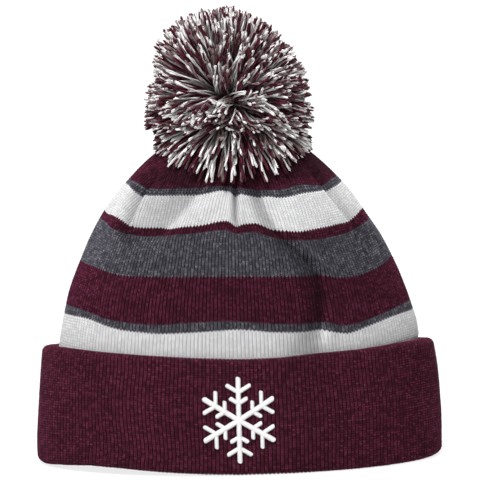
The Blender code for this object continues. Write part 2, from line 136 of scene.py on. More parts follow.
# shallow hollows where the cloth is drawn in below the crown: degrees round, height, half width in degrees, half height, depth
HOLLOWS = (
    (-38.0, 0.1560, 14.0, 0.0080, 0.0020),
    (20.0, 0.1590, 7.0, 0.0080, 0.0014),
    (44.0, 0.1350, 9.0, 0.0100, 0.0016),
    (-70.0, 0.1380, 12.0, 0.0120, 0.0016),
    (150.0, 0.1560, 14.0, 0.0090, 0.0026),
    (-150.0, 0.1500, 16.0, 0.0110, 0.0026),
    (100.0, 0.1480, 14.0, 0.0120, 0.0018),
)


def lie(turn, z):
    """How far the cloth stands out from the drawn form: darts, creases and slow waves."""
    a = half_width(z)
    deep = np.minimum(0.0024 * smooth((z - 0.138) / 0.034), 0.10 * a)
    out = np.zeros_like(turn * z)
    for dart in DARTS:
        near = np.abs(around(turn, dart))
        out -= deep * (0.60 * np.exp(-near / 1.3) + 0.40 * np.maximum(0.0, 1.0 - near / 9.0) ** 1.5)
    for line, depth, left, right in CREASES:
        heights = [p[1] for p in line][::-1]
        bearing = np.interp(z, heights, [p[0] for p in line][::-1])
        off = np.radians(around(turn, bearing)) * a * (0.62 + 0.38 * np.abs(np.cos(turn)))
        ends = smooth((z - heights[0]) / 0.012) * smooth((heights[-1] - z) / 0.014)
        width = np.where(off < 0, left, right)
        far = np.sqrt((off / width) ** 2 + 0.06) - 0.245
        out -= depth * ends * (np.exp(-far) - 0.38 * np.exp(-((np.abs(off) - 2.4 * width) / (1.1 * width)) ** 2))
    for centre, height, wide, tall, depth in HOLLOWS:
        out -= depth * np.exp(-(around(turn, centre) / wide) ** 2 - ((z - height) / tall) ** 2)
    out -= 0.0017 * smooth((z - 0.098) / 0.030) * smooth((0.190 - z) / 0.022)
    out += 0.0024 * np.exp(-(around(turn, 90.0) / 32.0) ** 2) * smooth((z - 0.0650) / 0.0080) * smooth((0.106 - z) / 0.030)
    above = smooth((z - 0.070) / 0.03) * smooth((0.198 - z) / 0.02)
    out += above * 0.00045 * (np.sin(3 * turn + 0.8 + 31 * z) + 0.7 * np.sin(5 * turn - 1.3 - 44 * z)
                              + 0.5 * np.sin(9 * turn + 2.1 + 60 * z))
    return out


# painted shade: where less light reaches the yarn, deep in folds, its colour is darkened, and a weight below zero
# paints light instead: lines of (degrees round, height, reach to the left, reach to the right), and how much
PAINTED_FOLD_LIGHT_AND_SHADE = (
    (((-57.0, 0.180, 0.0090, 0.0009), (-53.0, 0.160, 0.0085, 0.0008), (-51.0, 0.150, 0.0070, 0.0008), (-49.0, 0.136, 0.0040, 0.0008)), 0.40),
    (((-20.5, 0.176, 0.0230, 0.0060), (-26.5, 0.1634, 0.0230, 0.0074), (-36.5, 0.145, 0.0200, 0.0080), (-42.0, 0.136, 0.0100, 0.0060)), 0.36),
    (((-50.0, 0.172, 0.0120, 0.0100), (-52.0, 0.138, 0.0120, 0.0100)), 0.10),
    (((48.0, 0.143, 0.0300, 0.0400), (50.0, 0.094, 0.0300, 0.0400)), 0.14),
    (((35.0, 0.092, 0.0110, 0.0170), (33.0, 0.060, 0.0130, 0.0190)), -0.13),
    (((28.8, 0.128, 0.0070, 0.0016), (30.6, 0.112, 0.0070, 0.0016), (30.6, 0.094, 0.0060, 0.0016)), 0.24),
    (((-50.0, 0.094, 0.0240, 0.0200), (-50.0, 0.060, 0.0240, 0.0200)), -0.06),
    (((1.4, 0.176, 0.0016, 0.0012), (0.6, 0.152, 0.0016, 0.0012), (1.6, 0.1395, 0.0012, 0.0010)), 0.30),
    (((12.0, 0.176, 0.0050, 0.0020), (12.8, 0.1616, 0.0072, 0.0022), (16.0, 0.145, 0.0074, 0.0022), (21.0, 0.135, 0.0100, 0.0030),
      (28.0, 0.1235, 0.0120, 0.0030), (31.2, 0.112, 0.0130, 0.0024), (31.0, 0.100, 0.0140, 0.0024), (27.0, 0.084, 0.0160, 0.0046), (23.5, 0.064, 0.0150, 0.0070)), 0.40),
    (((54.0, 0.180, 0.0010, 0.0080), (56.0, 0.160, 0.0010, 0.0090), (59.0, 0.146, 0.0010, 0.0080), (62.0, 0.134, 0.0010, 0.0040)), 0.26),
    (((-55.0, 0.148, 0.0060, 0.0060), (-50.0, 0.140, 0.0080, 0.0080), (-46.0, 0.131, 0.0060, 0.0060)), 0.34),
    (((132.0, 0.172, 0.0060, 0.0020), (137.0, 0.140, 0.0080, 0.0024), (140.0, 0.116, 0.0060, 0.0024)), 0.30),
    (((-128.0, 0.174, 0.0016, 0.0060), (-124.0, 0.142, 0.0020, 0.0080), (-120.0, 0.118, 0.0020, 0.0060)), 0.30),
    (((178.0, 0.174, 0.0060, 0.0020), (176.0, 0.146, 0.0070, 0.0022), (170.0, 0.124, 0.0060, 0.0022)), 0.30),
    (((160.0, 0.170, 0.0070, 0.0030), (152.0, 0.142, 0.0080, 0.0030), (150.0, 0.118, 0.0060, 0.0030)), 0.24),
    (((-160.0, 0.170, 0.0030, 0.0070), (-165.0, 0.146, 0.0030, 0.0080), (-160.0, 0.124, 0.0030, 0.0060)), 0.24),
)


def fold_shade(turn, z):
    """Painted shade: how much darker the yarn's colour is made, 0 to 1, in the folds, and a painted shadow on the crown
    where the pom hangs over it; a weight below zero paints light instead.
    """
    a = half_width(z)
    light = np.ones_like(turn * z)
    for line, weight in PAINTED_FOLD_LIGHT_AND_SHADE:
        points = np.array(line)[::-1]
        bearing, left, right = [np.interp(z, points[:, 1], points[:, k]) for k in (0, 2, 3)]
        off = np.radians(around(turn, bearing)) * a * (0.62 + 0.38 * np.abs(np.cos(turn)))
        ends = smooth((z - points[0, 1]) / 0.008) * smooth((points[-1, 1] - z) / 0.006)
        light = light * (1 - weight * ends * np.exp(-(np.abs(off) / np.where(off < 0, left, right)) ** 3))
    # painted shadow of the pom on the crown, weaker on the left side
    painted_pom_shadow = 0.58 * smooth((z - 0.1675) / 0.0080) * (1 - 0.75 * smooth((-around(turn, 0.0) - 48.0) / 14.0))
    return 1 - light * (1 - painted_pom_shadow)


# ------------------------------------------------------------------ stripe borders
BORDERS = {   # (degrees round from the front, height in millimetres)
    "cuff_top": ((-90, 71.5), (-58, 72.4), (-40, 71.3), (-26, 70.2), (-11, 68.8), (1, 68.0), (12, 68.0), (24, 69.5),
                 (38, 70.1), (55, 71.5), (61, 71.8), (90, 71.5)),
    "white_lower": ((-90, 90.4), (-74, 90.4), (-64, 90.3), (-57, 89.2), (-51, 87.3), (-46, 85.3), (-41, 83.8), (-33, 83.0),
                    (-26, 82.1), (-12, 83.3), (1, 84.7), (7, 83.8), (14, 82.2), (28, 80.3), (35, 80.1), (44, 81.4),
                    (54, 84.2), (61, 86.3), (70, 87.5), (90, 87.9)),
    "grey_lower": ((-90, 96.3), (-77, 96.1), (-65, 94.9), (-58, 93.3), (-52, 91.4), (-47, 90.0), (-42, 89.1), (-33, 87.8),
                   (-26, 87.4), (-19, 88.7), (-5, 89.7), (1, 89.4), (8, 88.5), (21, 86.3), (28, 86.8), (36, 85.4),
                   (44, 85.5), (49, 86.7), (55, 88.3), (62, 90.4), (72, 92.7), (90, 93.6)),
    "maroon_wide": ((-90, 122.4), (-82, 122.1), (-67, 120.9), (-58, 119.3), (-51, 117.4), (-45, 116.0), (-32, 116.1),
                    (2, 115.9), (23, 114.5), (31, 115.5), (35, 113.3), (39, 112.3), (49, 112.4), (55, 114.0), (64, 116.6),
                    (77, 120.0), (90, 121.4)),
    "grey_wide": ((-90, 148.2), (-74, 147.1), (-64, 144.1), (-54, 141.8), (-47, 140.5), (-36, 139.2), (-22, 140.7),
                  (-14, 141.8), (-6, 142.9), (1, 142.1), (10, 141.7), (18, 137.7), (26, 136.0), (35, 136.4), (41, 137.6),
                  (53, 138.7), (62, 141.3), (82, 145.5), (90, 146.0)),
    "maroon_thin": ((-90, 152.2), (-71, 150.9), (-58, 148.3), (-48, 143.6), (-42, 143.6), (-32, 143.7), (-23, 144.4),
                    (-14, 145.0), (-6, 147.2), (1, 145.8), (11, 145.4), (19, 141.5), (27, 140.6), (37, 142.4), (43, 143.0),
                    (49, 144.2), (56, 144.1), (72, 150.2), (90, 151.4)),
    "white_upper": ((-90, 168.4), (-74, 168.1), (-54, 163.0), (-46, 162.8), (-17, 163.3), (-7, 165.5), (5, 162.3),
                    (23, 160.4), (34, 161.9), (48, 163.2), (77, 166.8), (90, 167.4)),
    "grey_upper": ((-90, 171.2), (-63, 169.7), (-50, 167.4), (-42, 166.9), (-29, 166.9), (6, 166.6), (14, 165.4),
                   (24, 165.2), (37, 167.2), (51, 166.2), (68, 169.9), (90, 171.0)),
}
# sharper bends in them, where the cloth creases: degrees round, millimetres
BENDS = {
    "white_lower": ((0, 0), (10, -0.6), (16, -0.1), (20.8, 0.4), (22.9, 0.8), (27.5, 1.8), (29.7, 1.7), (32.3, 0.6), (34.7, -0.4), (38.7, -1.7),
                    (41.2, -1.4), (45.7, -0.5), (52, 0)),
    "grey_lower": ((0, 0), (10, -0.6), (17, -0.4), (23, 0), (27.5, 0.3), (31.2, 0.5), (34.7, -1.0), (38.7, -1.4), (42.4, -1.0), (45.7, -0.4),
                   (52, 0)),
    "grey_wide": ((-50, 0), (-41, 0.4), (-34, 1.5), (-29.4, 0.6), (-18.4, 0.5), (-8.9, 0.8), (-3.6, 1.2), (0.4, -0.8), (4, -0.2), (8, 0.2),
                  (13.8, -0.4), (18, -0.2), (28, -0.4), (39.6, -0.6), (55, 0)),
    "maroon_thin": ((-75, 0), (-68, 0.6), (-53, 0.6), (-42.7, 1.4), (-33.7, 2.2), (-28.4, 0.9), (-18.9, 0.9), (-9.1, 1.7), (-2.9, 2.4), (0.6, -0.1),
                    (4.5, 1.0), (9.5, 1.7), (14.2, 0.6), (20, 0.3), (28, 0)),
    "white_upper": ((-60, 0), (-45, 0.7), (-24, 1.6), (-12, 1.3), (-3, 1.8), (0.6, 0.8), (5, 1.5), (12, 1.5), (20, 1.2), (28, 0.5), (37, 0.8),
                    (50, 0.2), (60, 0)),
    "grey_upper": ((-60, 0), (-41, 0.9), (-24, 1.6), (-16, 2.3), (-9, 2.7), (-1.5, 2.7), (5.7, 1.4), (13, 1.1), (20.6, 0.9), (28.5, 0.6), (37, 1.3),
                   (45, 0.8), (60, 0)),
}
_fold = np.arange(-90.0, 91.0)


def border(name, turn):
    table = BORDERS[name]
    front = np.interp(_fold, [p[0] for p in table], [p[1] for p in table])
    front = front + 17.5 * half_width(front / 1000.0) * depth_ratio(front / 1000.0) * np.cos(np.radians(_fold))
    every = np.concatenate([front, front[::-1][1:-1]])          # -90..90 at the front, then round the back
    kernel = np.exp(-0.5 * (np.arange(-9, 10) / 2.6) ** 2)
    kernel /= kernel.sum()
    every = np.convolve(np.concatenate([every[-9:], every, every[:9]]), kernel, "valid")
    place = (np.degrees(turn) + 90.0) % 360.0
    bends = BENDS.get(name, ((0, 0), (1, 0)))
    bend = np.interp(around(turn, 0.0), [p[0] for p in bends], [p[1] for p in bends])
    return (np.interp(place, np.arange(361.0), np.append(every, every[0])) + bend) / 1000.0


_zs = np.concatenate([np.linspace(0.0, 0.19, 400), np.linspace(0.1901, 0.20185, 600)])
_mean = half_width(_zs) * (1.0 + depth_ratio(_zs)) / 2.0
_run = np.concatenate([[0.0], np.cumsum(np.hypot(np.diff(_zs), np.diff(_mean)))])


def run_of(z):
    return np.interp(z, _zs, _run)


def height_of(run):
    return np.interp(run, _run, _zs)


# ------------------------------------------------------------------ columns of stitches round the body
_fine = np.radians(np.arange(0.0, 360.0001, 0.05))
_arc = np.concatenate([[0.0], np.cumsum(np.hypot(np.cos((_fine[1:] + _fine[:-1]) / 2),
                                                 0.66 * np.sin((_fine[1:] + _fine[:-1]) / 2)) * np.diff(_fine))])


def gore_columns(wales, per_wale):
    """For each column of vertices: its share of the gore, the gore's middle and half length as arcs, and its place in the wale."""
    edges = np.interp(np.radians(np.append(DARTS, 360.0)), _fine, _arc)
    counts = np.round(wales * np.diff(edges) / edges[-1]).astype(int)
    counts[0] += wales - counts.sum()
    spots = np.array(WALE_SPOTS if per_wale == 6 else np.arange(per_wale) / per_wale)
    share, middle, half, place = [], [], [], []
    for k, count in enumerate(counts):
        i = np.arange(count * per_wale)
        share.append(-1.0 + 2.0 * (i // per_wale + spots[i % per_wale]) / count)
        middle.append(np.full(len(i), (edges[k] + edges[k + 1]) / 2))
        half.append(np.full(len(i), (edges[k + 1] - edges[k]) / 2))
        place.append(spots[i % per_wale])
    return tuple(np.concatenate(x) for x in (share, middle, half, place))


def turns_at(columns, z):
    """Angle of each column at each height: above the darts' start a gore keeps its stitches' width and loses them at its seams."""
    share, middle, half, _ = columns
    ratio = np.clip(half_width(z) / half_width(0.142), 0.34, 1.0)
    q = np.abs(share) / ratio
    top = 1.0 / ratio
    closed = (q / (1 + q ** 8) ** 0.125) / (top / (1 + top ** 8) ** 0.125) * np.sign(share)
    x = share + smooth((z - 0.134) / 0.022) * (closed - share)
    sway = 0.0012 * np.sin(z / 0.0043 + 9.0 * middle + 40.0 * x) + 0.0008 * np.sin(z / 0.0019 + 120.0 * x)
    return np.interp(middle + x * half + sway * (1 - x * x), _arc, _fine)


def stitch_relief(place, phase, wale, course, seed):
    """Height, 0 to 1, of plain knit: two slanting legs in each wale, one after another up the column."""
    across = np.interp(place, [0.0, 0.14, 0.32, 0.50, 0.68, 0.86, 1.0], [0.0, 0.48, 1.0, 0.55, 1.0, 0.48, 0.0])
    along = np.interp(phase, [0.0, 0.33, 0.67, 1.0], [0.0, 1.0, 0.86, 0.0])
    relief = across * (0.14 + 0.86 * along)
    hashed = np.sin(wale * 12.9898 + course * 78.233 + seed * 3.17) * 43758.5453
    loose = hashed - np.floor(hashed)
    return relief * (0.82 + 0.18 * loose), loose


def purl_relief(place, phase):
    """Height of the back of plain knit: rows of staggered bumps."""
    stagger = np.where(place > 0.5, 0.5, 0.0)
    return (0.5 - 0.5 * np.cos(2 * np.pi * (phase + stagger))) * (0.55 + 0.45 * np.abs(np.sin(2 * np.pi * place)))


# ------------------------------------------------------------------ meshes
def make_mesh(name, verts, quads, polys=(), uv=None, floats=None, sharp_rows=None):
    """quads is (n, 4); polys is a list of (m, k) index arrays; uv holds one (n, k, 2) array for each of those."""
    mesh = bpy.data.meshes.new(name)
    groups = [np.asarray(quads)] + [np.asarray(p) for p in polys]
    loops = np.concatenate([g.ravel() for g in groups]).astype(np.int32)
    sizes = np.concatenate([np.full(len(g), g.shape[1], np.int32) for g in groups])
    mesh.vertices.add(len(verts))
    mesh.vertices.foreach_set("co", np.asarray(verts, np.float32).ravel())
    mesh.loops.add(len(loops))
    mesh.loops.foreach_set("vertex_index", loops)
    mesh.polygons.add(len(sizes))
    mesh.polygons.foreach_set("loop_start", np.concatenate([[0], np.cumsum(sizes)[:-1]]).astype(np.int32))
    mesh.update(calc_edges=True)
    if uv is not None:
        layer = mesh.uv_layers.new(name="OFBake")
        layer.data.foreach_set("uv", np.concatenate([u.reshape(-1, 2) for u in uv]).astype(np.float32).ravel())
    for key, values in (floats or {}).items():
        attribute = mesh.attributes.new(key, "FLOAT", "POINT")
        attribute.data.foreach_set("value", np.asarray(values, np.float32).ravel())
    mesh.shade_smooth()
    if sharp_rows is not None:
        ends = np.zeros(len(mesh.edges) * 2, np.int32)
        mesh.edges.foreach_get("vertices", ends)
        mark = np.full(len(verts), -1, np.int32)
        for k, row in enumerate(sharp_rows):
            mark[row] = k
        ends = mark[ends.reshape(-1, 2)]
        sharp = (ends[:, 0] >= 0) & (ends[:, 0] == ends[:, 1])
        attribute = mesh.attributes.new("sharp_edge", "BOOLEAN", "EDGE")
        attribute.data.foreach_set("value", sharp)
    mesh.update()
    made = bpy.data.objects.new(name, mesh)
    bpy.context.scene.collection.objects.link(made)
    return made


def box_uv(rows, cols, low, high):
    """UV corners of a closed grid's quads, between two heights of the sheet."""
    r, c = np.meshgrid(np.arange(rows - 1), np.arange(cols), indexing="ij")
    u0, u1 = 0.01 + 0.98 * c / cols, 0.01 + 0.98 * (c + 1) / cols
    v0 = low + (high - low) * r / (rows - 1)
    v1 = low + (high - low) * (r + 1) / (rows - 1)
    return np.stack([np.stack([u0, v0], -1), np.stack([u1, v0], -1), np.stack([u1, v1], -1), np.stack([u0, v1], -1)], 2).reshape(-1, 4, 2)


def grid_quads(rows, cols, start, flip):
    r, c = np.meshgrid(np.arange(rows - 1), np.arange(cols), indexing="ij")
    n = (c + 1) % cols
    q = np.stack([r * cols + c, r * cols + n, (r + 1) * cols + n, (r + 1) * cols + c], -1).reshape(-1, 4) + start
    return q[:, ::-1] if flip else q


def band(name, face, back, relief, tone, flip=False, fold=None):
    """A closed ring of knit: face (rows, cols, 3) carries the stitches, back is its plain other side with fewer columns."""
    rows, cols = face.shape[:2]
    brows, bcols = back.shape[:2]
    step = cols // bcols
    base = rows * cols
    verts = np.concatenate([face.reshape(-1, 3), back.reshape(-1, 3)])
    fq, bq = grid_quads(rows, cols, 0, flip), grid_quads(brows, bcols, base, not flip)
    fu, bu = box_uv(rows, cols, 0.01, 0.70), box_uv(brows, bcols, 0.74, 0.99)
    if flip:
        fu = fu[:, ::-1]
    else:
        bu = bu[:, ::-1]
    k = np.arange(bcols)
    polys, puvs = [], []
    for row, brow, up in ((0, 0, False), (rows - 1, brows - 1, True)):
        o = np.stack([row * cols + (k * step + i) % cols for i in range(step + 1)], 1)
        b0, b1 = base + brow * bcols + k, base + brow * bcols + (k + 1) % bcols
        v = 0.720 if up else 0.705
        ou = np.stack([np.stack([0.01 + 0.98 * (k * step + i) / cols, np.full(bcols, v)], -1) for i in range(step + 1)], 1)
        bu0, bu1 = ou[:, 0] + [0, 0.010], ou[:, -1] + [0, 0.010]
        if up:
            p, u = np.concatenate([o, b1[:, None], b0[:, None]], 1), np.concatenate([ou, bu1[:, None], bu0[:, None]], 1)
        else:
            p = np.concatenate([o[:, ::-1], b0[:, None], b1[:, None]], 1)
            u = np.concatenate([ou[:, ::-1], bu0[:, None], bu1[:, None]], 1)
        if flip:
            p, u = p[:, ::-1], u[:, ::-1]
        polys.append(p)
        puvs.append(u)
    floats = {"relief": np.concatenate([relief.ravel(), np.full(len(back.reshape(-1, 3)), 0.5)]),
              "tone": np.concatenate([tone.ravel(), np.full(len(back.reshape(-1, 3)), 0.5)])}
    # painted light and shade for the face's yarn colour; the back has none
    if fold is not None:
        floats["fold"] = np.concatenate([fold.ravel(), np.zeros(len(back.reshape(-1, 3)))])
    sharp = [np.arange(cols), (rows - 1) * cols + np.arange(cols)]
    return make_mesh(name, verts, np.concatenate([fq, bq]), polys, [np.concatenate([fu, bu]), *puvs], floats, sharp)


def dress(obj, body, material, slot, *nodes):
    obj.data.materials.append(material)
    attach(obj, body)
    if nodes:
        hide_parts(*nodes)
    return obj


# ------------------------------------------------------------------ materials
class Nodes:
    """A material's node tree, with short calls for the nodes used here."""

    def __init__(self, name):
        self.material = bpy.data.materials.new(name)
        self.material.use_nodes = True
        self.tree = self.material.node_tree
        self.shader = self.tree.nodes["Principled BSDF"]
        self.place = self.tree.nodes.new("ShaderNodeTexCoord").outputs["Object"]

    def add(self, kind, **values):
        node = self.tree.nodes.new(kind)
        for key, value in values.items():
            setattr(node, key, value)
        return node

    def link(self, a, b):
        self.tree.links.new(a, b)

    def attribute(self, name):
        return self.add("ShaderNodeAttribute", attribute_name=name).outputs["Fac"]

    def noise(self, scale, detail=2.0, rough=0.5, coords=None, distortion=0.0):
        node = self.add("ShaderNodeTexNoise")
        node.inputs["Scale"].default_value = scale
        node.inputs["Detail"].default_value = detail
        node.inputs["Roughness"].default_value = rough
        node.inputs["Distortion"].default_value = distortion
        self.link(coords or self.place, node.inputs["Vector"])
        return node.outputs["Fac"]

    def stretch(self, value, low, high, to_low=0.0, to_high=1.0):
        node = self.add("ShaderNodeMapRange")
        for key, number in zip(("From Min", "From Max", "To Min", "To Max"), (low, high, to_low, to_high)):
            node.inputs[key].default_value = number
        self.link(value, node.inputs["Value"])
        return node.outputs["Result"]

    def math(self, operation, a, b):
        node = self.add("ShaderNodeMath", operation=operation)
        for socket, value in zip(node.inputs, (a, b)):
            if isinstance(value, (int, float)):
                socket.default_value = value
            else:
                self.link(value, socket)
        return node.outputs[0]

    def mix(self, factor, a, b, blend="MIX"):
        node = self.add("ShaderNodeMix", data_type="RGBA", blend_type=blend)
        colours = [s for s in node.inputs if s.type == "RGBA"]
        if isinstance(factor, (int, float)):
            node.inputs[0].default_value = factor
        else:
            self.link(factor, node.inputs[0])
        for socket, value in zip(colours, (a, b)):
            if isinstance(value, tuple):
                socket.default_value = (*value, 1.0)
            else:
                self.link(value, socket)
        return [s for s in node.outputs if s.type == "RGBA"][0]

    def bump(self, height, strength, distance):
        node = self.add("ShaderNodeBump")
        node.inputs["Strength"].default_value = strength
        node.inputs["Distance"].default_value = distance
        self.link(height, node.inputs["Height"])
        self.link(node.outputs["Normal"], self.shader.inputs["Normal"])

    def finish(self, colour, roughness, sheen, tint, sheen_roughness=0.5, specular=0.08):
        self.link(colour, self.shader.inputs["Base Color"])
        self.shader.inputs["Roughness"].default_value = roughness
        self.shader.inputs["Specular IOR Level"].default_value = specular
        self.shader.inputs["Sheen Weight"].default_value = sheen
        self.shader.inputs["Sheen Roughness"].default_value = sheen_roughness
        self.shader.inputs["Sheen Tint"].default_value = (*tint, 1.0)
        return self.material


def knit_material(name, deep, ridge, light, heather, vary, sheen, tint):
    """Knitted yarn: painted shade darkens it between the stitches, fuller colour on them, each stitch a little
    different, with flecks of lighter fibre, and painted light and shade of folds and the pom's shadow multiplied in.
    """
    n = Nodes(name)
    relief = n.stretch(n.attribute("relief"), 0.06, 0.82)
    fleck = n.noise(820.0, 3.0, 0.6)
    fibre = n.noise(2600.0, 2.0, 0.6)
    # painted shade: the first colour, far darker, fills the hollows between the stitches
    colour = n.mix(relief, deep, ridge)
    spots = n.math("MULTIPLY", n.stretch(fleck, 0.46, 0.66), n.stretch(n.attribute("tone"), 0.10, 1.0))
    spots = n.math("MULTIPLY", spots, n.math("MULTIPLY", relief, heather))
    colour = n.mix(spots, colour, light)
    shade = n.stretch(n.noise(26.0, 2.0, 0.5), 0.30, 0.70, 0.95, 1.05)
    shade = n.math("MULTIPLY", shade, n.stretch(fibre, 0.25, 0.75, 0.84, 1.16))
    shade = n.math("MULTIPLY", shade, n.stretch(n.noise(1350.0, 1.0, 0.5), 0.32, 0.68, 1.0 - 1.1 * vary, 1.0 + 1.1 * vary))
    shade = n.math("MULTIPLY", shade, n.stretch(n.attribute("tone"), 0.0, 1.0, 1.0 - vary, 1.0 + vary))
    # painted shade in folds and under the pom, and painted light where the value is below zero, multiplied into the
    # colour
    shade = n.math("MULTIPLY", shade, n.stretch(n.attribute("fold"), 0.0, 1.0, 1.0, 0.0))
    mixed = n.add("ShaderNodeVectorMath", operation="SCALE")
    n.link(colour, mixed.inputs[0])
    n.link(shade, mixed.inputs["Scale"])
    n.bump(fibre, 0.35, 0.00025)
    return n.finish(mixed.outputs[0], 0.88, sheen, tint)


def yarn_material(name, dark, mid, pale, sheen, tint, root=(0.03, 0.006, 0.007)):
    """Loose pom yarn: each strand has its own tone; painted shade darkens the grooves of its twist, and painted shade
    darkens it towards the tie, deep inside the pom.
    """
    n = Nodes(name)
    tone, ply, length = n.attribute("tone"), n.attribute("relief"), n.attribute("along")
    fibre = n.noise(1900.0, 3.0, 0.65)
    colour = n.mix(n.stretch(tone, 0.0, 1.0), mid, pale)
    # painted shade in the grooves between the plies
    colour = n.mix(n.stretch(ply, 0.75, 0.05), colour, dark)
    # painted shade towards the tie, where the strands lie deep in the pom
    colour = n.mix(n.stretch(length, 0.62, 0.18), colour, root)
    mixed = n.add("ShaderNodeVectorMath", operation="SCALE")
    n.link(colour, mixed.inputs[0])
    n.link(n.stretch(fibre, 0.25, 0.75, 0.80, 1.18), mixed.inputs["Scale"])
    n.bump(fibre, 0.45, 0.0003)
    return n.finish(mixed.outputs[0], 0.85, sheen, tint)


def thread_material(name, dark, pale, roughness, sheen, specular=0.3):
    n = Nodes(name)
    fibre = n.noise(3200.0, 2.0, 0.6)
    # painted shade: the first colour where relief is low, in the grooves and at the edges of the threads
    colour = n.mix(n.stretch(n.attribute("relief"), 0.0, 1.0), dark, pale)
    mixed = n.add("ShaderNodeVectorMath", operation="SCALE")
    n.link(colour, mixed.inputs[0])
    n.link(n.stretch(fibre, 0.25, 0.75, 0.90, 1.08), mixed.inputs["Scale"])
    n.bump(fibre, 0.2, 0.0001)
    return n.finish(mixed.outputs[0], roughness, sheen, (1.0, 1.0, 1.0), specular=specular)


# each knit's first colour is painted shade for the hollows between the stitches
MAROON_KNIT = knit_material("maroon_knit", (0.0060, 0.0006, 0.0008), (0.066, 0.0085, 0.0222), (0.150, 0.040, 0.088), 0.50, 0.30,
                            0.03, (0.80, 0.30, 0.60))
CUFF_KNIT = knit_material("cuff_knit", (0.0070, 0.0007, 0.0012), (0.071, 0.0092, 0.0240), (0.160, 0.044, 0.092), 0.50, 0.30,
                          0.03, (0.80, 0.35, 0.62))
GREY_KNIT = knit_material("grey_knit", (0.0056, 0.0054, 0.0076), (0.080, 0.075, 0.093), (0.240, 0.236, 0.255), 0.60, 0.25,
                          0.03, (0.75, 0.75, 0.85))
WHITE_KNIT = knit_material("white_knit", (0.31, 0.31, 0.32), (0.63, 0.63, 0.63), (0.76, 0.76, 0.76), 0.40, 0.05,
                           0.04, (1.0, 1.0, 1.0))
LINING_KNIT = knit_material("lining_knit", (0.0060, 0.0007, 0.0010), (0.060, 0.0105, 0.0200), (0.130, 0.042, 0.072), 0.45, 0.20,
                            0.03, (0.80, 0.35, 0.60))
# each pom yarn's first colour is painted shade in the twist's grooves, and its last one is painted shade towards the
# tie
POM_MAROON = yarn_material("pom_maroon_yarn", (0.014, 0.0012, 0.0016), (0.050, 0.0075, 0.0125), (0.120, 0.026, 0.046), 0.06,
                           (0.8, 0.4, 0.6), (0.012, 0.0016, 0.0018))
POM_WHITE = yarn_material("pom_white_yarn", (0.36, 0.33, 0.33), (0.72, 0.71, 0.70), (0.90, 0.90, 0.89), 0.06, (1.0, 1.0, 1.0),
                          (0.15, 0.08, 0.08))
POM_GREY = yarn_material("pom_grey_yarn", (0.050, 0.027, 0.028), (0.135, 0.090, 0.090), (0.310, 0.245, 0.245), 0.06,
                         (0.9, 0.85, 0.85), (0.022, 0.007, 0.007))
TIE_YARN = yarn_material("tie_yarn", (0.016, 0.002, 0.003), (0.050, 0.009, 0.016), (0.085, 0.018, 0.032), 0.15, (0.8, 0.4, 0.6))
# each thread's first colour is painted shade for its grooves and edges
SEWING = thread_material("sewing_thread", (0.020, 0.004, 0.007), (0.070, 0.016, 0.028), 0.6, 0.1)
EMBROIDERY = thread_material("emblem_thread", (0.34, 0.34, 0.34), (0.70, 0.70, 0.69), 0.45, 0.05, 0.4)
BACKING = thread_material("stabilizer_cloth", (0.60, 0.60, 0.59), (0.80, 0.80, 0.79), 0.85, 0.10)


# ------------------------------------------------------------------ the knitted body
SEAM_IN, SEAM_OUT = -0.00080, 0.00022      # valley and ridge of the stitches, from the drawn face


def stripe(name, node, low, high, columns, rows_per_course, material, slot, low_cut=0.0, high_cut=0.0, upper_plain=None):
    """One colour of the body, from one border to the next, as whole rows of stitches."""
    share, _, _, place = columns
    cols = len(share)
    per_wale = cols // WALES
    middle_length = float(np.mean(run_of(high(_fine)) - run_of(low(_fine))))
    courses = max(2, round(middle_length / COURSE))
    rows = np.arange(courses * rows_per_course + 1) / rows_per_course
    if upper_plain is not None:                 # courses the pom covers need no stitch detail
        rows = np.concatenate([rows[: upper_plain * rows_per_course + 1], np.arange(upper_plain + 1, courses + 1)])
    rows = rows[:, None]
    wale = (np.arange(cols) // per_wale)[None, :]
    z = np.full((len(rows), cols), float(np.mean(low(_fine))))
    chevron = (np.abs(2 * place - 1) - 0.5)[None, :] * 0.00150
    for _ in range(3):
        turn = turns_at(columns, z)
        start, end = run_of(low(turn)), run_of(high(turn))
        run = start + (end - start) * rows / courses
        point = chevron * (1 if low_cut == 0 else smooth(rows / 3.0)) * (1 if high_cut == 0 else smooth((courses - rows) / 6.0))
        z = height_of(run + point)
    phase = rows % 1.0
    if upper_plain is not None:
        phase = np.where(rows > upper_plain, 0.5, phase)
    relief, tone = stitch_relief(place[None, :], phase, wale, np.floor(rows), len(name))
    ground, normal = body_frame(turn, z)
    out = lie(turn, z)
    narrow = np.clip(half_width(z) / half_width(0.150), 0.25, 1.0)
    deep = 0.75 if material is WHITE_KNIT else 1.0
    face = ground + normal * (out + (SEAM_OUT - (SEAM_OUT - SEAM_IN) * deep * (1 - relief)) * narrow)[..., None]
    keep = np.unique(np.concatenate([np.arange(0, len(rows), 9), [len(rows) - 1]]))
    if upper_plain is not None:
        keep = np.unique(np.concatenate([keep, np.arange(upper_plain * rows_per_course, len(rows), 3), [len(rows) - 1]]))
    sub = slice(None, None, per_wale)
    back_turn, back_z = turn[keep][:, sub], height_of(run[keep][:, sub] + 0 * z[keep][:, sub])
    ground, normal = body_frame(back_turn, back_z)
    thick = np.minimum(OUTER_LAYER, 0.8 * half_width(back_z))
    back = ground + normal * (lie(back_turn, back_z) - thick)[..., None]
    # painted shade of the folds and of the pom's shadow, and painted light, for the yarn colour
    made = band(name, face, back, relief + 0 * z, tone + 0 * z, fold=fold_shade(turn, z))
    return dress(made, "shell", material, slot, node)


def level(height):
    return lambda turn: np.full_like(np.asarray(turn, float), height)


def hem_top(turn):
    return 0.0600 + 0.0 * turn


def edge(name):
    return lambda turn: border(name, turn)


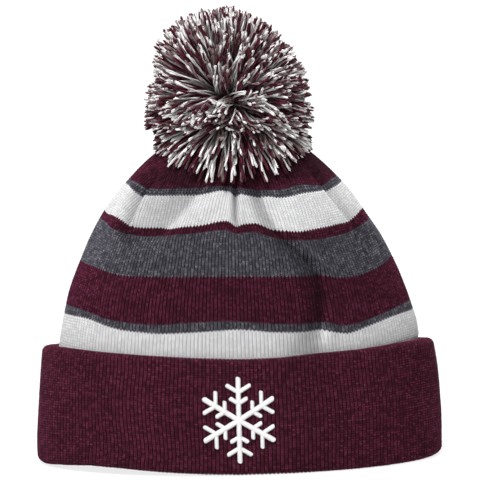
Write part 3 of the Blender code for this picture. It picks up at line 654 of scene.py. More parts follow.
COLUMNS_BODY = gore_columns(WALES, 6)
STRIPES = (
    ("knit_hem_band", "hem_band", level(RIM), hem_top, 2, MAROON_KNIT, "maroon_knit"),
    ("knit_stripe_white_lower", "stripe_white_lower", hem_top, edge("white_lower"), 3, WHITE_KNIT, "white_knit"),
    ("knit_stripe_grey_thin_lower", "stripe_grey_thin_lower", edge("white_lower"), edge("grey_lower"), 3, GREY_KNIT, "grey_knit"),
    ("knit_stripe_maroon_wide", "stripe_maroon_wide", edge("grey_lower"), edge("maroon_wide"), 3, MAROON_KNIT, "maroon_knit"),
    ("knit_stripe_grey_wide", "stripe_grey_wide", edge("maroon_wide"), edge("grey_wide"), 3, GREY_KNIT, "grey_knit"),
    ("knit_stripe_maroon_thin", "stripe_maroon_thin", edge("grey_wide"), edge("maroon_thin"), 3, MAROON_KNIT, "maroon_knit"),
    ("knit_stripe_white_upper", "stripe_white_upper", edge("maroon_thin"), edge("white_upper"), 3, WHITE_KNIT, "white_knit"),
    ("knit_stripe_grey_thin_upper", "stripe_grey_thin_upper", edge("white_upper"), edge("grey_upper"), 3, GREY_KNIT, "grey_knit"),
)
for name, node, low, high, per_course, material, slot in STRIPES:
    stripe(name, node, low, high, COLUMNS_BODY, per_course, material, slot, low_cut=1.0 if node == "hem_band" else 0.0)
stripe("knit_crown", "crown_band", edge("grey_upper"), level(EYE_Z), COLUMNS_BODY, 3, MAROON_KNIT, "maroon_knit",
       high_cut=1.0, upper_plain=22)


def build_lining():
    """The inner layer, with the purl side of its knit towards the head."""
    per_wale = 4
    columns = gore_columns(WALES, per_wale)
    place = columns[3][None, :]
    courses = round(float(run_of(EYE_Z) - run_of(RIM)) / COURSE)
    detailed = courses - 26
    rows = np.concatenate([np.arange(detailed * 2) / 2.0, np.arange(detailed, courses + 1.0)])[:, None]
    low, high = float(run_of(RIM)), float(run_of(EYE_Z))
    z = height_of(low + (high - low) * rows / courses) + np.zeros((1, place.shape[1]))
    turn = turns_at(columns, z)
    phase = np.where(rows >= detailed, 0.25, rows % 1.0 + 0.25)
    relief = purl_relief(place, phase) + 0 * z
    tone = np.abs(np.sin(12.9 * np.floor(rows) + 7.7 * np.floor(np.arange(place.shape[1]) / per_wale)[None, :]))
    ground, normal = body_frame(turn, z)
    depth = np.minimum(OUTER_LAYER + LAYER_GAP + LINING_LAYER, 0.9 * half_width(z))
    face = ground + normal * (lie(turn, z) - depth - 0.0004 + 0.0007 * (1 - relief))[..., None]
    keep = np.unique(np.concatenate([np.arange(0, len(rows), 8), np.arange(detailed * 2, len(rows), 3), [len(rows) - 1]]))
    back_turn, back_z = turn[keep][:, ::per_wale], z[keep][:, ::per_wale]
    ground, normal = body_frame(back_turn, back_z)
    depth = np.minimum(OUTER_LAYER + LAYER_GAP, 0.85 * half_width(back_z))
    back = ground + normal * (lie(back_turn, back_z) - depth)[..., None]
    made = band("knit_lining", face, back, relief, tone + 0 * z, flip=True)
    return dress(made, "shell", LINING_KNIT, "lining_knit", "lining")


build_lining()


# ------------------------------------------------------------------ the cuff
CUFF_WALES = 252
_ha, _hb = float(half_width(STRAIGHT_TO)) + 0.0115, float(half_width(STRAIGHT_TO) * depth_ratio(STRAIGHT_TO)) + 0.0115
_cuff_arc = np.concatenate([[0.0], np.cumsum(np.hypot(_ha * np.cos((_fine[1:] + _fine[:-1]) / 2),
                                                      _hb * np.sin((_fine[1:] + _fine[:-1]) / 2)) * np.diff(_fine))])
CUFF_BOTTOM = ((-180, 0.6), (-120, 0.4), (-90, 0.0), (-78, 0.4), (-66, 2.1), (-50, 3.9), (-38, 3.4), (-23, 1.7), (-10, 0.5), (0, 0.0), (90, 0.0),
               (130, 0.2), (180, 0.6))
CUFF_RIM = ((-180, -3.0), (-160, -3.4), (-136, -4.6), (-118, -5.0), (-108, -4.4), (-99, -2.9), (-90, -1.3), (-81, -0.1), (-72, 0.0), (72, 0.0),
            (81, -0.5), (90, -2.0), (99, -3.9), (108, -5.4), (118, -5.6), (136, -4.8), (160, -3.4), (180, -3.0))


def cuff_turns(per_wale):
    i = np.arange(CUFF_WALES * per_wale)
    spots = np.array(WALE_SPOTS if per_wale == 6 else np.arange(per_wale) / per_wale)
    return np.interp((i // per_wale + spots[i % per_wale]) / CUFF_WALES * _cuff_arc[-1], _cuff_arc, _fine)


def cuff_place(turn, out, z):
    """A point of the cuff, with its edges' slow waves and a soft bulge."""
    degrees = around(turn, 0.0)
    top = border("cuff_top", turn) - CUFF_HEIGHT + np.interp(degrees, [p[0] for p in CUFF_RIM], [p[1] for p in CUFF_RIM]) / 1000.0
    low = np.interp(degrees, [p[0] for p in CUFF_BOTTOM], [p[1] for p in CUFF_BOTTOM]) / 1000.0
    share = np.clip(z / CUFF_HEIGHT, 0.0, 1.0)
    wave = 0.00040 * np.sin(4 * turn + 1.1 + 40 * z) + 0.00030 * np.sin(7 * turn - 0.7 - 70 * z) + 0.00018 * np.sin(11 * turn + 95 * z)
    drift = 0.011 * np.sin(z / 0.0105 + 0.8) * np.exp(-((degrees + 33) / 19.0) ** 2) \
        - 0.008 * np.sin(z / 0.0125 + 2.2) * np.exp(-((degrees - 40) / 20.0) ** 2)
    shifted = turn + drift * smooth(z / 0.012) * smooth((CUFF_HEIGHT - z) / 0.012)
    ground, way = hem_frame(shifted)
    spread = 0.0014 * np.exp(-((degrees - 90) / 26.0) ** 2) * smooth((z - 0.030) / 0.030)
    flat = ground + way * (out + spread + wave * smooth(z / 0.02))[..., None]
    return np.concatenate([flat, (z + top * share + low * (1 - share))[..., None]], -1)


def cuff_line():
    """The outer layer's section from its inner lip, under the cuff's bottom bend, up the side and over the top, as
    (out, height) points and their run along it.
    """
    centre, middle = CUFF_OUT_BOTTOM - CUFF_BOTTOM_RADIUS, CUFF_OUT_TOP - CUFF_TOP_RADIUS
    fine = [(-CUFF_LIP_IN + (centre + CUFF_LIP_IN) * i / 40.0, 0.0) for i in range(40)]
    fine += [(centre + CUFF_BOTTOM_RADIUS * math.sin(math.radians(a)), CUFF_BOTTOM_RADIUS - CUFF_BOTTOM_RADIUS * math.cos(math.radians(a)))
             for a in np.linspace(0, 90, 31)[:-1]]
    z = np.linspace(CUFF_BOTTOM_RADIUS, CUFF_HEIGHT - CUFF_TOP_RADIUS, 81)[:-1]
    swell = 0.0009 * np.sin(np.pi * (z - z[0]) / (z[-1] - z[0]))
    fine += list(zip(cuff_out(z) + swell, z))
    fine += [(middle + CUFF_TOP_RADIUS * math.cos(math.radians(a)), CUFF_HEIGHT - CUFF_TOP_RADIUS + CUFF_TOP_RADIUS * math.sin(math.radians(a)))
             for a in np.linspace(0, 180, 41)]
    fine = np.array(fine)
    kernel = np.ones(7) / 7
    padded = np.concatenate([np.repeat(fine[:1], 3, 0), fine, np.repeat(fine[-1:], 3, 0)])
    fine = np.stack([np.convolve(padded[:, i], kernel, "valid") for i in (0, 1)], 1)
    run = np.concatenate([[0.0], np.cumsum(np.hypot(*np.diff(fine, axis=0).T))])
    return fine, run


def build_cuff():
    per_wale, per_course = 6, 3
    fine, run = cuff_line()
    courses = round(run[-1] / COURSE)
    rows = np.arange(courses * per_course + 1) / per_course
    at = rows / courses * run[-1]
    out, z = np.interp(at, run, fine[:, 0]), np.interp(at, run, fine[:, 1])
    along = np.gradient(np.stack([out, z], 1), axis=0)
    along /= np.linalg.norm(along, axis=1, keepdims=True)
    normal = np.stack([along[:, 1], -along[:, 0]], 1)          # away from the section's inside
    turn = cuff_turns(per_wale)[None, :]
    cols = turn.shape[1]
    place = np.array(WALE_SPOTS)[np.arange(cols) % per_wale][None, :]
    chevron = (np.abs(2 * place - 1) - 0.5) * 0.00100 * smooth(np.minimum(rows, courses - rows) / 3.0)[:, None]
    relief, tone = stitch_relief(place, rows[:, None] % 1.0, (np.arange(cols) // per_wale)[None, :], np.floor(rows)[:, None], 5)
    lift = SEAM_IN + (SEAM_OUT - SEAM_IN) * relief
    under = smooth(1.0 - z / 0.004)[:, None]
    lift = lift - 0.00022 * under
    o = out[:, None] + normal[:, 0:1] * lift + along[:, 0:1] * chevron
    h = z[:, None] + normal[:, 1:2] * lift + along[:, 1:2] * chevron
    face = cuff_place(turn + 0 * o, o, h)
    keep = np.unique(np.concatenate([np.arange(0, len(rows), 6), [len(rows) - 1]]))
    inner = np.stack([out - normal[:, 0] * (CUFF_LAYER - 0.0002), z - normal[:, 1] * (CUFF_LAYER - 0.0002)], 1)[keep]
    back = cuff_place(turn[:, ::per_wale] + 0 * inner[:, 0:1], inner[:, 0:1] + 0 * turn[:, ::per_wale], inner[:, 1:2] + 0 * turn[:, ::per_wale])
    # painted shade: a soft vertical darker band on the cuff, 21 degrees round
    made = band("knit_cuff_outer", face, back, relief, tone, fold=0.12 * np.exp(-((around(turn, 21.0) + 0 * h) / 9.0) ** 2))
    dress(made, "cuff", CUFF_KNIT, "cuff_knit", "cuff_outer_layer")

    per_wale = 4
    turn = cuff_turns(per_wale)[None, :]
    cols = turn.shape[1]
    place = (np.arange(cols) % per_wale / per_wale)[None, :]
    low, high = CUFF_LAYER + LAYER_GAP, CUFF_HEIGHT - CUFF_TOP_RADIUS - 0.0008
    courses = round((high - low) / COURSE)
    rows = (np.arange(courses * 2 + 1) / 2.0)[:, None]
    relief = purl_relief(place, rows % 1.0 + 0.25)
    h = low + (high - low) * rows / courses + 0 * turn
    face = cuff_place(turn + 0 * h, CUFF_CLEARANCE + 0.0006 * (1 - relief), h)
    keep = np.unique(np.concatenate([np.arange(0, len(rows), 8), [len(rows) - 1]]))
    hb = h[keep][:, ::per_wale]
    back = cuff_place(turn[:, ::per_wale] + 0 * hb, CUFF_CLEARANCE + CUFF_LAYER + 0 * hb, hb)
    made = band("knit_cuff_inner", face, back, relief, 0.5 + 0 * relief, flip=True)
    dress(made, "cuff", CUFF_KNIT, "cuff_knit", "cuff_inner_layer")


build_cuff()


# ------------------------------------------------------------------ tubes: yarn, threads and knots
def tubes(name, paths, radii, sides=6, lobes=0.0, turns=0.0, tone=None, cyclic=False, grow=None):
    """Tubes along many paths (n, k, 3) at once, with ends closed. lobes and turns shape the twist of the plies."""
    n, k = paths.shape[:2]
    if cyclic:
        way = np.roll(paths, -1, 1) - np.roll(paths, 1, 1)
    else:
        way = np.gradient(paths, axis=1)
    way /= np.linalg.norm(way, axis=-1, keepdims=True) + 1e-12
    first = np.cross(way[:, 0], RNG.normal(size=(n, 3)))
    first /= np.linalg.norm(first, axis=-1, keepdims=True)
    side = np.zeros_like(paths)
    side[:, 0] = first
    for i in range(1, k):
        s = side[:, i - 1] - way[:, i] * np.sum(side[:, i - 1] * way[:, i], -1, keepdims=True)
        side[:, i] = s / (np.linalg.norm(s, axis=-1, keepdims=True) + 1e-12)
    other = np.cross(way, side)
    length = np.concatenate([np.zeros((n, 1)), np.cumsum(np.linalg.norm(np.diff(paths, axis=1), axis=-1), 1)], 1)
    theta = 2 * np.pi * np.arange(sides) / sides
    lobe = np.cos(2 * (theta[None, None, :] - turns * length[..., None]))
    r = radii[..., None] * (1 + lobes * lobe)
    verts = paths[:, :, None] + r[..., None] * (np.cos(theta)[None, None, :, None] * side[:, :, None] + np.sin(theta)[None, None, :, None] * other[:, :, None])
    i, j, m = np.meshgrid(np.arange(n), np.arange(k if cyclic else k - 1), np.arange(sides), indexing="ij")
    m2, j2 = (m + 1) % sides, (j + 1) % k
    base = i * k * sides
    quads = np.stack([base + j * sides + m, base + j * sides + m2, base + j2 * sides + m2, base + j2 * sides + m], -1).reshape(-1, 4)
    cells = math.ceil(math.sqrt(n))
    size = 1.0 / cells
    cu, cv = (i % cells) * size, (i // cells) * size
    u0, u1 = cu + size * (0.08 + 0.74 * m / sides), cu + size * (0.08 + 0.74 * (m + 1) / sides)
    steps = k if cyclic else k - 1
    v0, v1 = cv + size * (0.08 + 0.84 * j / steps), cv + size * (0.08 + 0.84 * (j + 1) / steps)
    uv = [np.stack([np.stack([u0, v0], -1), np.stack([u1, v0], -1), np.stack([u1, v1], -1), np.stack([u0, v1], -1)], -2).reshape(-1, 4, 2)]
    polys = []
    if not cyclic:
        start = (np.arange(n) * k * sides)[:, None] + np.arange(sides)[::-1][None, :]
        end = (np.arange(n) * k * sides + (k - 1) * sides)[:, None] + np.arange(sides)[None, :]
        corner = np.stack([(np.arange(n) % cells) * size, (np.arange(n) // cells) * size], -1)[:, None]
        dot = np.stack([np.cos(theta), np.sin(theta)], -1)[None] * size * 0.05
        polys = [start, end]
        uv += [corner + np.array([size * 0.90, size * 0.25]) + dot[:, ::-1], corner + np.array([size * 0.90, size * 0.65]) + dot]
    # relief is low in the grooves between the plies, where the yarn and thread materials paint shade
    floats = {"relief": (0.5 + 0.5 * lobe + 0 * r).ravel(),
              "tone": np.repeat(RNG.random(n) if tone is None else tone, k * sides),
              "along": np.repeat((length / length[:, -1:]).ravel() if grow is None else grow.ravel(), sides)}
    return make_mesh(name, verts.reshape(-1, 3), quads, polys, uv, floats)


def joined(name, objects):
    """Several tube meshes as one piece."""
    for o in bpy.context.view_layer.objects:
        o.select_set(False)
    for o in objects:
        o.select_set(True)
    bpy.context.view_layer.objects.active = objects[0]
    if len(objects) > 1:
        bpy.ops.object.join()
    objects[0].name = name
    objects[0].data.name = name
    return objects[0]


# ------------------------------------------------------------------ the pom
def crown_height(x, y):
    low, high = np.full_like(x, 0.062), np.full_like(x, 0.20185)
    for _ in range(34):
        z = 0.5 * (low + high)
        a = half_width(z)
        inside = (x / a) ** 2 + (y / (a * depth_ratio(z))) ** 2 < 1.0
        low, high = np.where(inside, z, low), np.where(inside, high, z)
    return 0.5 * (low + high)


def unit(v):
    return v / np.linalg.norm(v, axis=-1, keepdims=True)


def pom_colours(n):
    """0 maroon, 1 white, 2 brown grey, wound together, each strand's colour drawn at random."""
    return RNG.choice(3, size=n, p=(0.36, 0.36, 0.28))


# how far the ball of tips reaches at each bearing seen from the front, degrees from +X towards +Z, in millimetres
POM_OUTLINE = ((0, 48.0), (8, 47.0), (19, 47.5), (33, 46.4), (45, 48.4), (56, 48.2), (66, 50.6), (78, 53.0), (90, 56.4), (102, 55.8),
               (118, 57.6), (130, 57.8), (141, 56.0), (151, 52.4), (161, 47.6), (170, 50.8), (183, 51.4), (192, 52.5), (204, 53.5),
               (270, 50.0), (331, 44.0), (345, 47.0), (360, 48.0))
# the line on the ball's front from which the strands lie away, as (across, away, up)
PARTING = ((-0.40, -0.86, 0.34), (-0.13, -0.97, 0.20), (0.07, -0.99, 0.10), (-0.05, -1.00, -0.06), (-0.07, -1.00, -0.14))


def ball_strands(count):
    """Free strands of the ball, from the tie to an uneven ball of tips, parted a little at the front."""
    i = np.arange(count) + 0.5
    up = 1 - i / count * (1 - math.sin(math.radians(-15)))
    bearing = i * math.pi * (3 - math.sqrt(5))
    flat = np.sqrt(np.maximum(0, 1 - up ** 2))
    d = np.stack([flat * np.sin(bearing), -flat * np.cos(bearing), up], -1)
    d = unit(d + RNG.normal(scale=0.055, size=d.shape))
    bunches = unit(RNG.normal(size=(210, 3)) * [1, 1, 1] + [0, 0, 0.25])
    nearest = np.argmax(d @ bunches.T, 1)
    d = unit(d + 0.30 * (bunches[nearest] - d))
    root = d.copy()
    line = unit(np.concatenate([np.linspace(PARTING[i], PARTING[i + 1], 9) for i in range(len(PARTING) - 1)]))
    front = line[np.argmax(d @ line.T, 1)]
    cos = np.clip(np.sum(d * front, -1), -1, 1)
    angle = np.arccos(cos)
    wide = math.radians(44)
    pushed = np.where(angle < wide, wide * (angle / wide) ** 0.55, angle)
    side = unit(d - cos[:, None] * front + 1e-9)
    d = np.cos(pushed)[:, None] * front + np.sin(pushed)[:, None] * side
    d[:, 2] = np.maximum(d[:, 2], -0.250)
    d = unit(d)
    reach = 1.0 / np.sqrt((d[:, 0] ** 2 + d[:, 1] ** 2) / 0.0488 ** 2 + d[:, 2] ** 2 / np.where(d[:, 2] > 0, 0.0555, 0.0500) ** 2)
    outline = np.interp(np.degrees(np.arctan2(d[:, 2], d[:, 0])) % 360.0, [p[0] for p in POM_OUTLINE], [p[1] for p in POM_OUTLINE]) / 1000.0
    reach += (1 - d[:, 1] ** 2) ** 1.5 * (outline * 0.985 - reach)
    reach *= 1.0 + 0.026 * RNG.normal(size=count).clip(-2.6, 1.2) + 0.014 * np.sin(5 * bearing[nearest] + nearest)
    reach = np.minimum(reach, 0.0595)
    k = 12
    s = (np.linspace(0, 1, k) ** 0.80)[None, :, None]
    start = 0.0068 * root + [0, 0, POM_CENTRE]
    tip = d * reach[:, None] + [0, 0, POM_CENTRE]
    mid = 0.5 * (start + tip) + 0.006 * (root - d) / (np.linalg.norm(root - d, axis=-1, keepdims=True) + 0.15) + RNG.normal(scale=0.0016, size=tip.shape)
    path = (1 - s) ** 2 * start[:, None] + 2 * s * (1 - s) * (2 * mid - 0.5 * (start + tip))[:, None] + s ** 2 * tip[:, None]
    wiggle = unit(np.cross(d, RNG.normal(size=d.shape)))
    path = path + wiggle[:, None] * (0.0006 * np.sin(s * RNG.uniform(3, 7, (count, 1, 1)) + RNG.uniform(0, 6, (count, 1, 1)))) * s
    sag = 0.0032 * (1 - np.abs(d[:, 2:3]))[:, None] * s ** 2 * RNG.uniform(0.3, 1.2, (count, 1, 1))
    path[..., 2:] -= sag
    outer = smooth((np.hypot(path[..., 0], path[..., 1]) - 0.018) / 0.022)
    path[..., 2] = np.maximum(path[..., 2], POM_FLOOR + 0.0009 - 0.0090 * outer * RNG.random((count, 1)) ** 1.1)
    x, y = path[..., 0], path[..., 1]            # room over the crown when the pom tips both ways at once
    path[..., 2] = np.where(np.hypot(x, y) > 0.026, np.maximum(path[..., 2], crown_height(0.925 * x, 0.925 * y) + 0.0018 + 0.2588 * (np.abs(x) + np.abs(y))), path[..., 2])
    over = np.maximum(1.0, np.hypot(path[..., 0], path[..., 1]) / (POM_RADIUS + 0.0015))
    path[..., :2] /= over[..., None]
    return path


def skirt_strands(count):
    """Strands that fall over the crown, in a few layers."""
    bearing = 2 * math.pi * (np.arange(count) + RNG.random(count)) / count
    bunch = np.round(bearing / (2 * math.pi) * 46) / 46 * 2 * math.pi + 0.4 * np.sin(np.round(bearing / (2 * math.pi) * 46) * 5.1) * 0.1
    bearing = bearing + 0.42 * ((bunch - bearing + math.pi) % (2 * math.pi) - math.pi)
    layer = RNG.random(count) ** 1.15
    end = 0.0400 + (0.0075 + 0.0035 * np.cos(bearing) ** 2) * RNG.random(count) ** 0.55
    end = np.where(layer > 0.72, np.maximum(end, 0.0455 + 0.0035 * RNG.random(count)), end)
    way = np.stack([np.sin(bearing), -np.cos(bearing)], -1)
    tip = way * end[:, None]
    ground = crown_height(tip[:, 0], tip[:, 1])
    top = SKIRT_TOP - 0.0008
    tip_z = ground + 0.0013 + (top - ground - 0.0013) * layer * 1.16
    tip_z = np.maximum(tip_z, 0.1712 + 0.0030 * RNG.random(count) ** 2)
    turn_root = bearing + RNG.normal(scale=0.25, size=count)
    root = np.stack([np.sin(turn_root), -np.cos(turn_root)], -1) * 0.0085
    k = 13
    s = np.linspace(0, 1, k)[None, :] ** 0.85
    mid_r = 0.58 * end
    mid = way * mid_r[:, None] + RNG.normal(scale=0.0022, size=way.shape)
    xy = (1 - s)[..., None] ** 2 * root[:, None] + 2 * (s * (1 - s))[..., None] * mid[:, None] + (s ** 2)[..., None] * tip[:, None]
    mid_z = np.minimum(top + 0.003 * smooth((layer - 0.7) / 0.3), 0.2045 + 0.0008 * RNG.normal(size=count) - 0.004 * (1 - layer))
    z = (1 - s) ** 2 * (top - 0.0004) + 2 * s * (1 - s) * mid_z[:, None] + s ** 2 * tip_z[:, None]
    floor = crown_height(xy[..., 0], xy[..., 1]) + 0.0011
    outer = smooth((np.hypot(xy[..., 0], xy[..., 1]) - 0.018) / 0.022)
    z = np.minimum(np.maximum(z, floor), 0.2058 + 0.0050 * outer * RNG.random((count, 1)))
    path = np.concatenate([xy, z[..., None]], -1)
    path = path + (unit(np.cross(np.concatenate([way, np.zeros((count, 1))], 1), [0, 0, 1.0]))[:, None]
                   * (0.0009 * np.sin(s * RNG.uniform(3, 8, (count, 1)) + RNG.uniform(0, 6, (count, 1))))[..., None])
    return path


def strand_pieces(prefix, paths, body, replaced):
    colour = pom_colours(len(paths))
    materials = (("maroon", POM_MAROON, "pom_maroon_yarn"), ("white", POM_WHITE, "pom_white_yarn"), ("grey", POM_GREY, "pom_grey_yarn"))
    for number, (word, material, slot) in enumerate(materials):
        path = paths[colour == number]
        n, k = path.shape[:2]
        s = np.linspace(0, 1, k)[None, :]
        thick = RNG.uniform(0.00048, 0.00072, (n, 1))
        radii = thick * (0.66 + 0.34 * smooth(s / 0.5)) * (1 + 0.24 * smooth((s - 0.82) / 0.18))
        radii[:, -1] *= 0.93
        tone = np.clip(RNG.beta(2.0, 2.0, n), 0, 1)
        body_tubes = tubes(prefix + word, path, radii, sides=8, lobes=0.17, turns=2 * math.pi / 0.0105 / 2, tone=tone)
        frays = 4
        tip, before = path[:, -1], path[:, -2]
        way = unit(tip - before)
        ends = np.repeat(tip, frays, 0)
        ways = unit(np.repeat(way, frays, 0) + RNG.normal(scale=0.42, size=(n * frays, 3)))
        step = RNG.uniform(0.0004, 0.0013, (n * frays, 1))
        hair = np.stack([ends - ways * 0.0010, ends + ways * step * 0.4, ends + ways * step], 1)
        if body == "shell":
            hair[..., 2] = np.maximum(hair[..., 2], crown_height(hair[..., 0], hair[..., 1]) + 0.0005)
        else:
            hair[..., 2] = np.maximum(hair[..., 2], POM_FLOOR - 0.0088)
        hair_radii = np.repeat(thick, frays, 0) * np.array([[0.50, 0.46, 0.24]])
        hairs = tubes(prefix + word + "_ends", hair, hair_radii, sides=4, tone=np.repeat(tone, frays), grow=np.ones((n * frays, 3)))
        # the ends share the strands' sheet, in a strip of their own
        for obj, low, high in ((body_tubes, 0.0, 0.86), (hairs, 0.87, 1.0)):
            uv = np.zeros(len(obj.data.loops) * 2, np.float32)
            obj.data.uv_layers["OFBake"].data.foreach_get("uv", uv)
            uv = uv.reshape(-1, 2)
            uv[:, 1] = low + (high - low) * uv[:, 1]
            obj.data.uv_layers["OFBake"].data.foreach_set("uv", uv.ravel())
        piece = joined(prefix + word, [body_tubes, hairs])
        dress(piece, body, material, slot, *replaced.get(word, ()))


strand_pieces("pom_strands_", ball_strands(2900), "pom", {
    "maroon": ("pom_tuft_maroon_1", "pom_tuft_maroon_2"),
    "white": ("pom_tuft_white_1", "pom_tuft_white_2"),
    "grey": ("pom_tuft_grey_1", "pom_tuft_grey_2"),
})
strand_pieces("pom_lower_", skirt_strands(860), "shell", {"maroon": ("pom_lower_strands",)})


# ------------------------------------------------------------------ the tie, its knots and the sewing
def spiral_ball(centre, radius, turns, low, high, points):
    """A winding that covers a ball from one elevation to another, in degrees."""
    s = np.linspace(0, 1, points)
    lift = np.radians(low + (high - low) * s)
    a = 2 * math.pi * turns * s
    return np.stack([radius * np.cos(lift) * np.cos(a), radius * np.cos(lift) * np.sin(a), centre + radius * np.sin(lift)], -1)[None]


def knot(centre, scale, points=96):
    a = 2 * math.pi * np.arange(points) / points
    flat = np.stack([np.sin(a) + 2 * np.sin(2 * a), np.cos(a) - 2 * np.cos(2 * a), -1.6 * np.sin(3 * a)], -1) * scale
    return (flat + [0, 0, centre])[None]


def ply(path, apart, pitch, count=2):
    """Plies that wind round a path."""
    way = unit(np.gradient(path[0], axis=0))
    length = np.concatenate([[0.0], np.cumsum(np.linalg.norm(np.diff(path[0], axis=0), axis=-1))])
    side = unit(np.cross(way, [0.31, 0.87, 0.13]))
    other = np.cross(way, side)
    made = []
    for i in range(count):
        a = 2 * math.pi * (length / pitch + i / count)
        made.append(path[0] + apart * (np.cos(a)[:, None] * side + np.sin(a)[:, None] * other))
    return np.array(made)


core = joined("pom_core_winding", [
    tubes("core_a", spiral_ball(POM_CENTRE, 0.0072, 13, -66, 88, 420), np.full((1, 420), 0.0010), 6, 0.15, 600.0),
    tubes("core_b", spiral_ball(POM_CENTRE, 0.0060, 9, 80, -60, 260)[:, :, [1, 0, 2]], np.full((1, 260), 0.0011), 6, 0.15, 600.0),
    tubes("core_neck", np.stack([0.0034 * np.cos(np.linspace(0, 38, 120)), 0.0034 * np.sin(np.linspace(0, 38, 120)),
                                 np.linspace(0.2068, 0.2096, 120)], -1)[None], np.full((1, 120), 0.0009), 6, 0.15, 600.0),
])
dress(core, "pom", TIE_YARN, "tie_yarn", "pom_binding")

line = np.stack([np.zeros(60), np.zeros(60), np.linspace(0.1915, 0.2040, 60)], -1)[None]
tie = joined("pom_tie", [
    tubes("tie_plies", ply(line, 0.00050, 0.0034), np.full((2, 60), 0.00058), 6),
    tubes("tie_knot", knot(PIVOT_HEIGHT, 0.00062), np.full((1, 96), 0.00078), 6, 0.12, 700.0, cyclic=True),
])
dress(tie, "pom_tie", TIE_YARN, "tie_yarn", "pom_tie_yarn")
tails = np.stack([np.stack([0.0008 * np.cos(b) + 0.0040 * np.linspace(0, 1, 16) * np.cos(b), 0.0008 * np.sin(b) + 0.0040 * np.linspace(0, 1, 16) * np.sin(b),
                            0.1880 - 0.0045 * np.linspace(0, 1, 16) ** 1.5], -1) for b in (0.6, 3.5)])
anchor = joined("pom_anchor", [
    tubes("anchor_knot", knot(0.1888, 0.00088), np.full((1, 96), 0.00100), 8, 0.12, 700.0, cyclic=True),
    tubes("anchor_tails", tails, np.full((2, 16), 0.00070), 6, 0.12, 700.0),
])
dress(anchor, "pom_tie", TIE_YARN, "tie_yarn", "pom_anchor_knot")

for number, dart in enumerate(DARTS, 1):
    # an overcast seam: the thread crosses the dart from side to side as it climbs
    s = np.linspace(0, 1, 300)
    z = height_of(float(run_of(0.146)) + (float(run_of(0.1950)) - float(run_of(0.146))) * s)
    width = 0.0012 * np.sin(2 * math.pi * s * 24)
    turn = np.radians(dart) + width / half_width(z)
    ground, normal = body_frame(turn, z)
    depth = CUFF_LIP_IN + 0.0006 + 0.0005 * np.cos(2 * math.pi * s * 48)
    path = (ground + normal * (lie(turn, z) - depth)[:, None])[None]
    seam = tubes(f"seam_stitches_{number}", path, np.full((1, 300), 0.00042), 6, 0.10, 1500.0)
    dress(seam, "shell", SEWING, "sewing_thread", f"crown_seam_thread_{number}")

a = 2 * math.pi * np.arange(220) / 220
ring_r = 0.0072 + 0.0006 * np.cos(16 * a)
ring_z = crown_height(ring_r * np.cos(a), ring_r * np.sin(a)) + 0.0006 + 0.0004 * np.sin(16 * a)
ring = tubes("crown_gathering_stitches", np.stack([ring_r * np.cos(a), ring_r * np.sin(a), ring_z], -1)[None],
             np.full((1, 220), 0.00050), 6, 0.10, 1500.0, cyclic=True)
dress(ring, "shell", SEWING, "sewing_thread", "crown_closing_stitch")


# ------------------------------------------------------------------ the snowflake, in satin stitch
REACH = float(half_width(STRAIGHT_TO)) + CUFF_OUT_BOTTOM


def on_cuff(points):
    """Emblem points (across, up, above the cloth) on the cuff's face."""
    z = EMBLEM_HEIGHT + points[..., 1]
    swell = 0.0009 * np.sin(np.pi * (z - CUFF_BOTTOM_RADIUS) / (CUFF_HEIGHT - CUFF_TOP_RADIUS - CUFF_BOTTOM_RADIUS))
    return cuff_place(points[..., 0] / REACH, cuff_out(z) + swell + points[..., 2], z)


def satin(start, end, half, lift):
    """Threads laid side by side across a bar, and three that run along it underneath."""
    start, end = np.array(start), np.array(end)
    length = np.linalg.norm(end - start)
    way = (end - start) / length
    side = np.array([-way[1], way[0]])
    count = max(4, int(round(length / 0.00031)))
    at = (np.arange(count) + 0.5) / count * length + RNG.normal(scale=0.00002, size=count)
    q = np.linspace(-1, 1, 7)
    wide = half * (1 + 0.03 * RNG.normal(size=(count, 1)))
    ends = np.minimum(1.0, np.sqrt(np.maximum(0.12, 1 - np.maximum(0, (at - length + half * 0.9) / (half * 0.9)) ** 2)))[:, None]
    flat = (start[None, None] + way * (at[:, None, None] + 0.00022 * q[None, :, None])
            + side * (q[None, :, None] * (wide * ends)[..., None]))
    rise = lift + 0.00062 * np.sqrt(np.maximum(0, 1 - q ** 2))[None, :] * ends + 0.00008 * RNG.normal(size=(count, 1))
    cross = np.concatenate([flat, rise[..., None] + 0 * flat[..., :1]], -1)
    r = np.linspace(0.03, 0.97, 14)
    under = [np.concatenate([start + way * (r[:, None] * length) + side * (half * w), np.full((14, 1), lift + 0.00012)], -1)
             for w in (-0.52, 0.0, 0.52)]
    return cross, np.array(under)


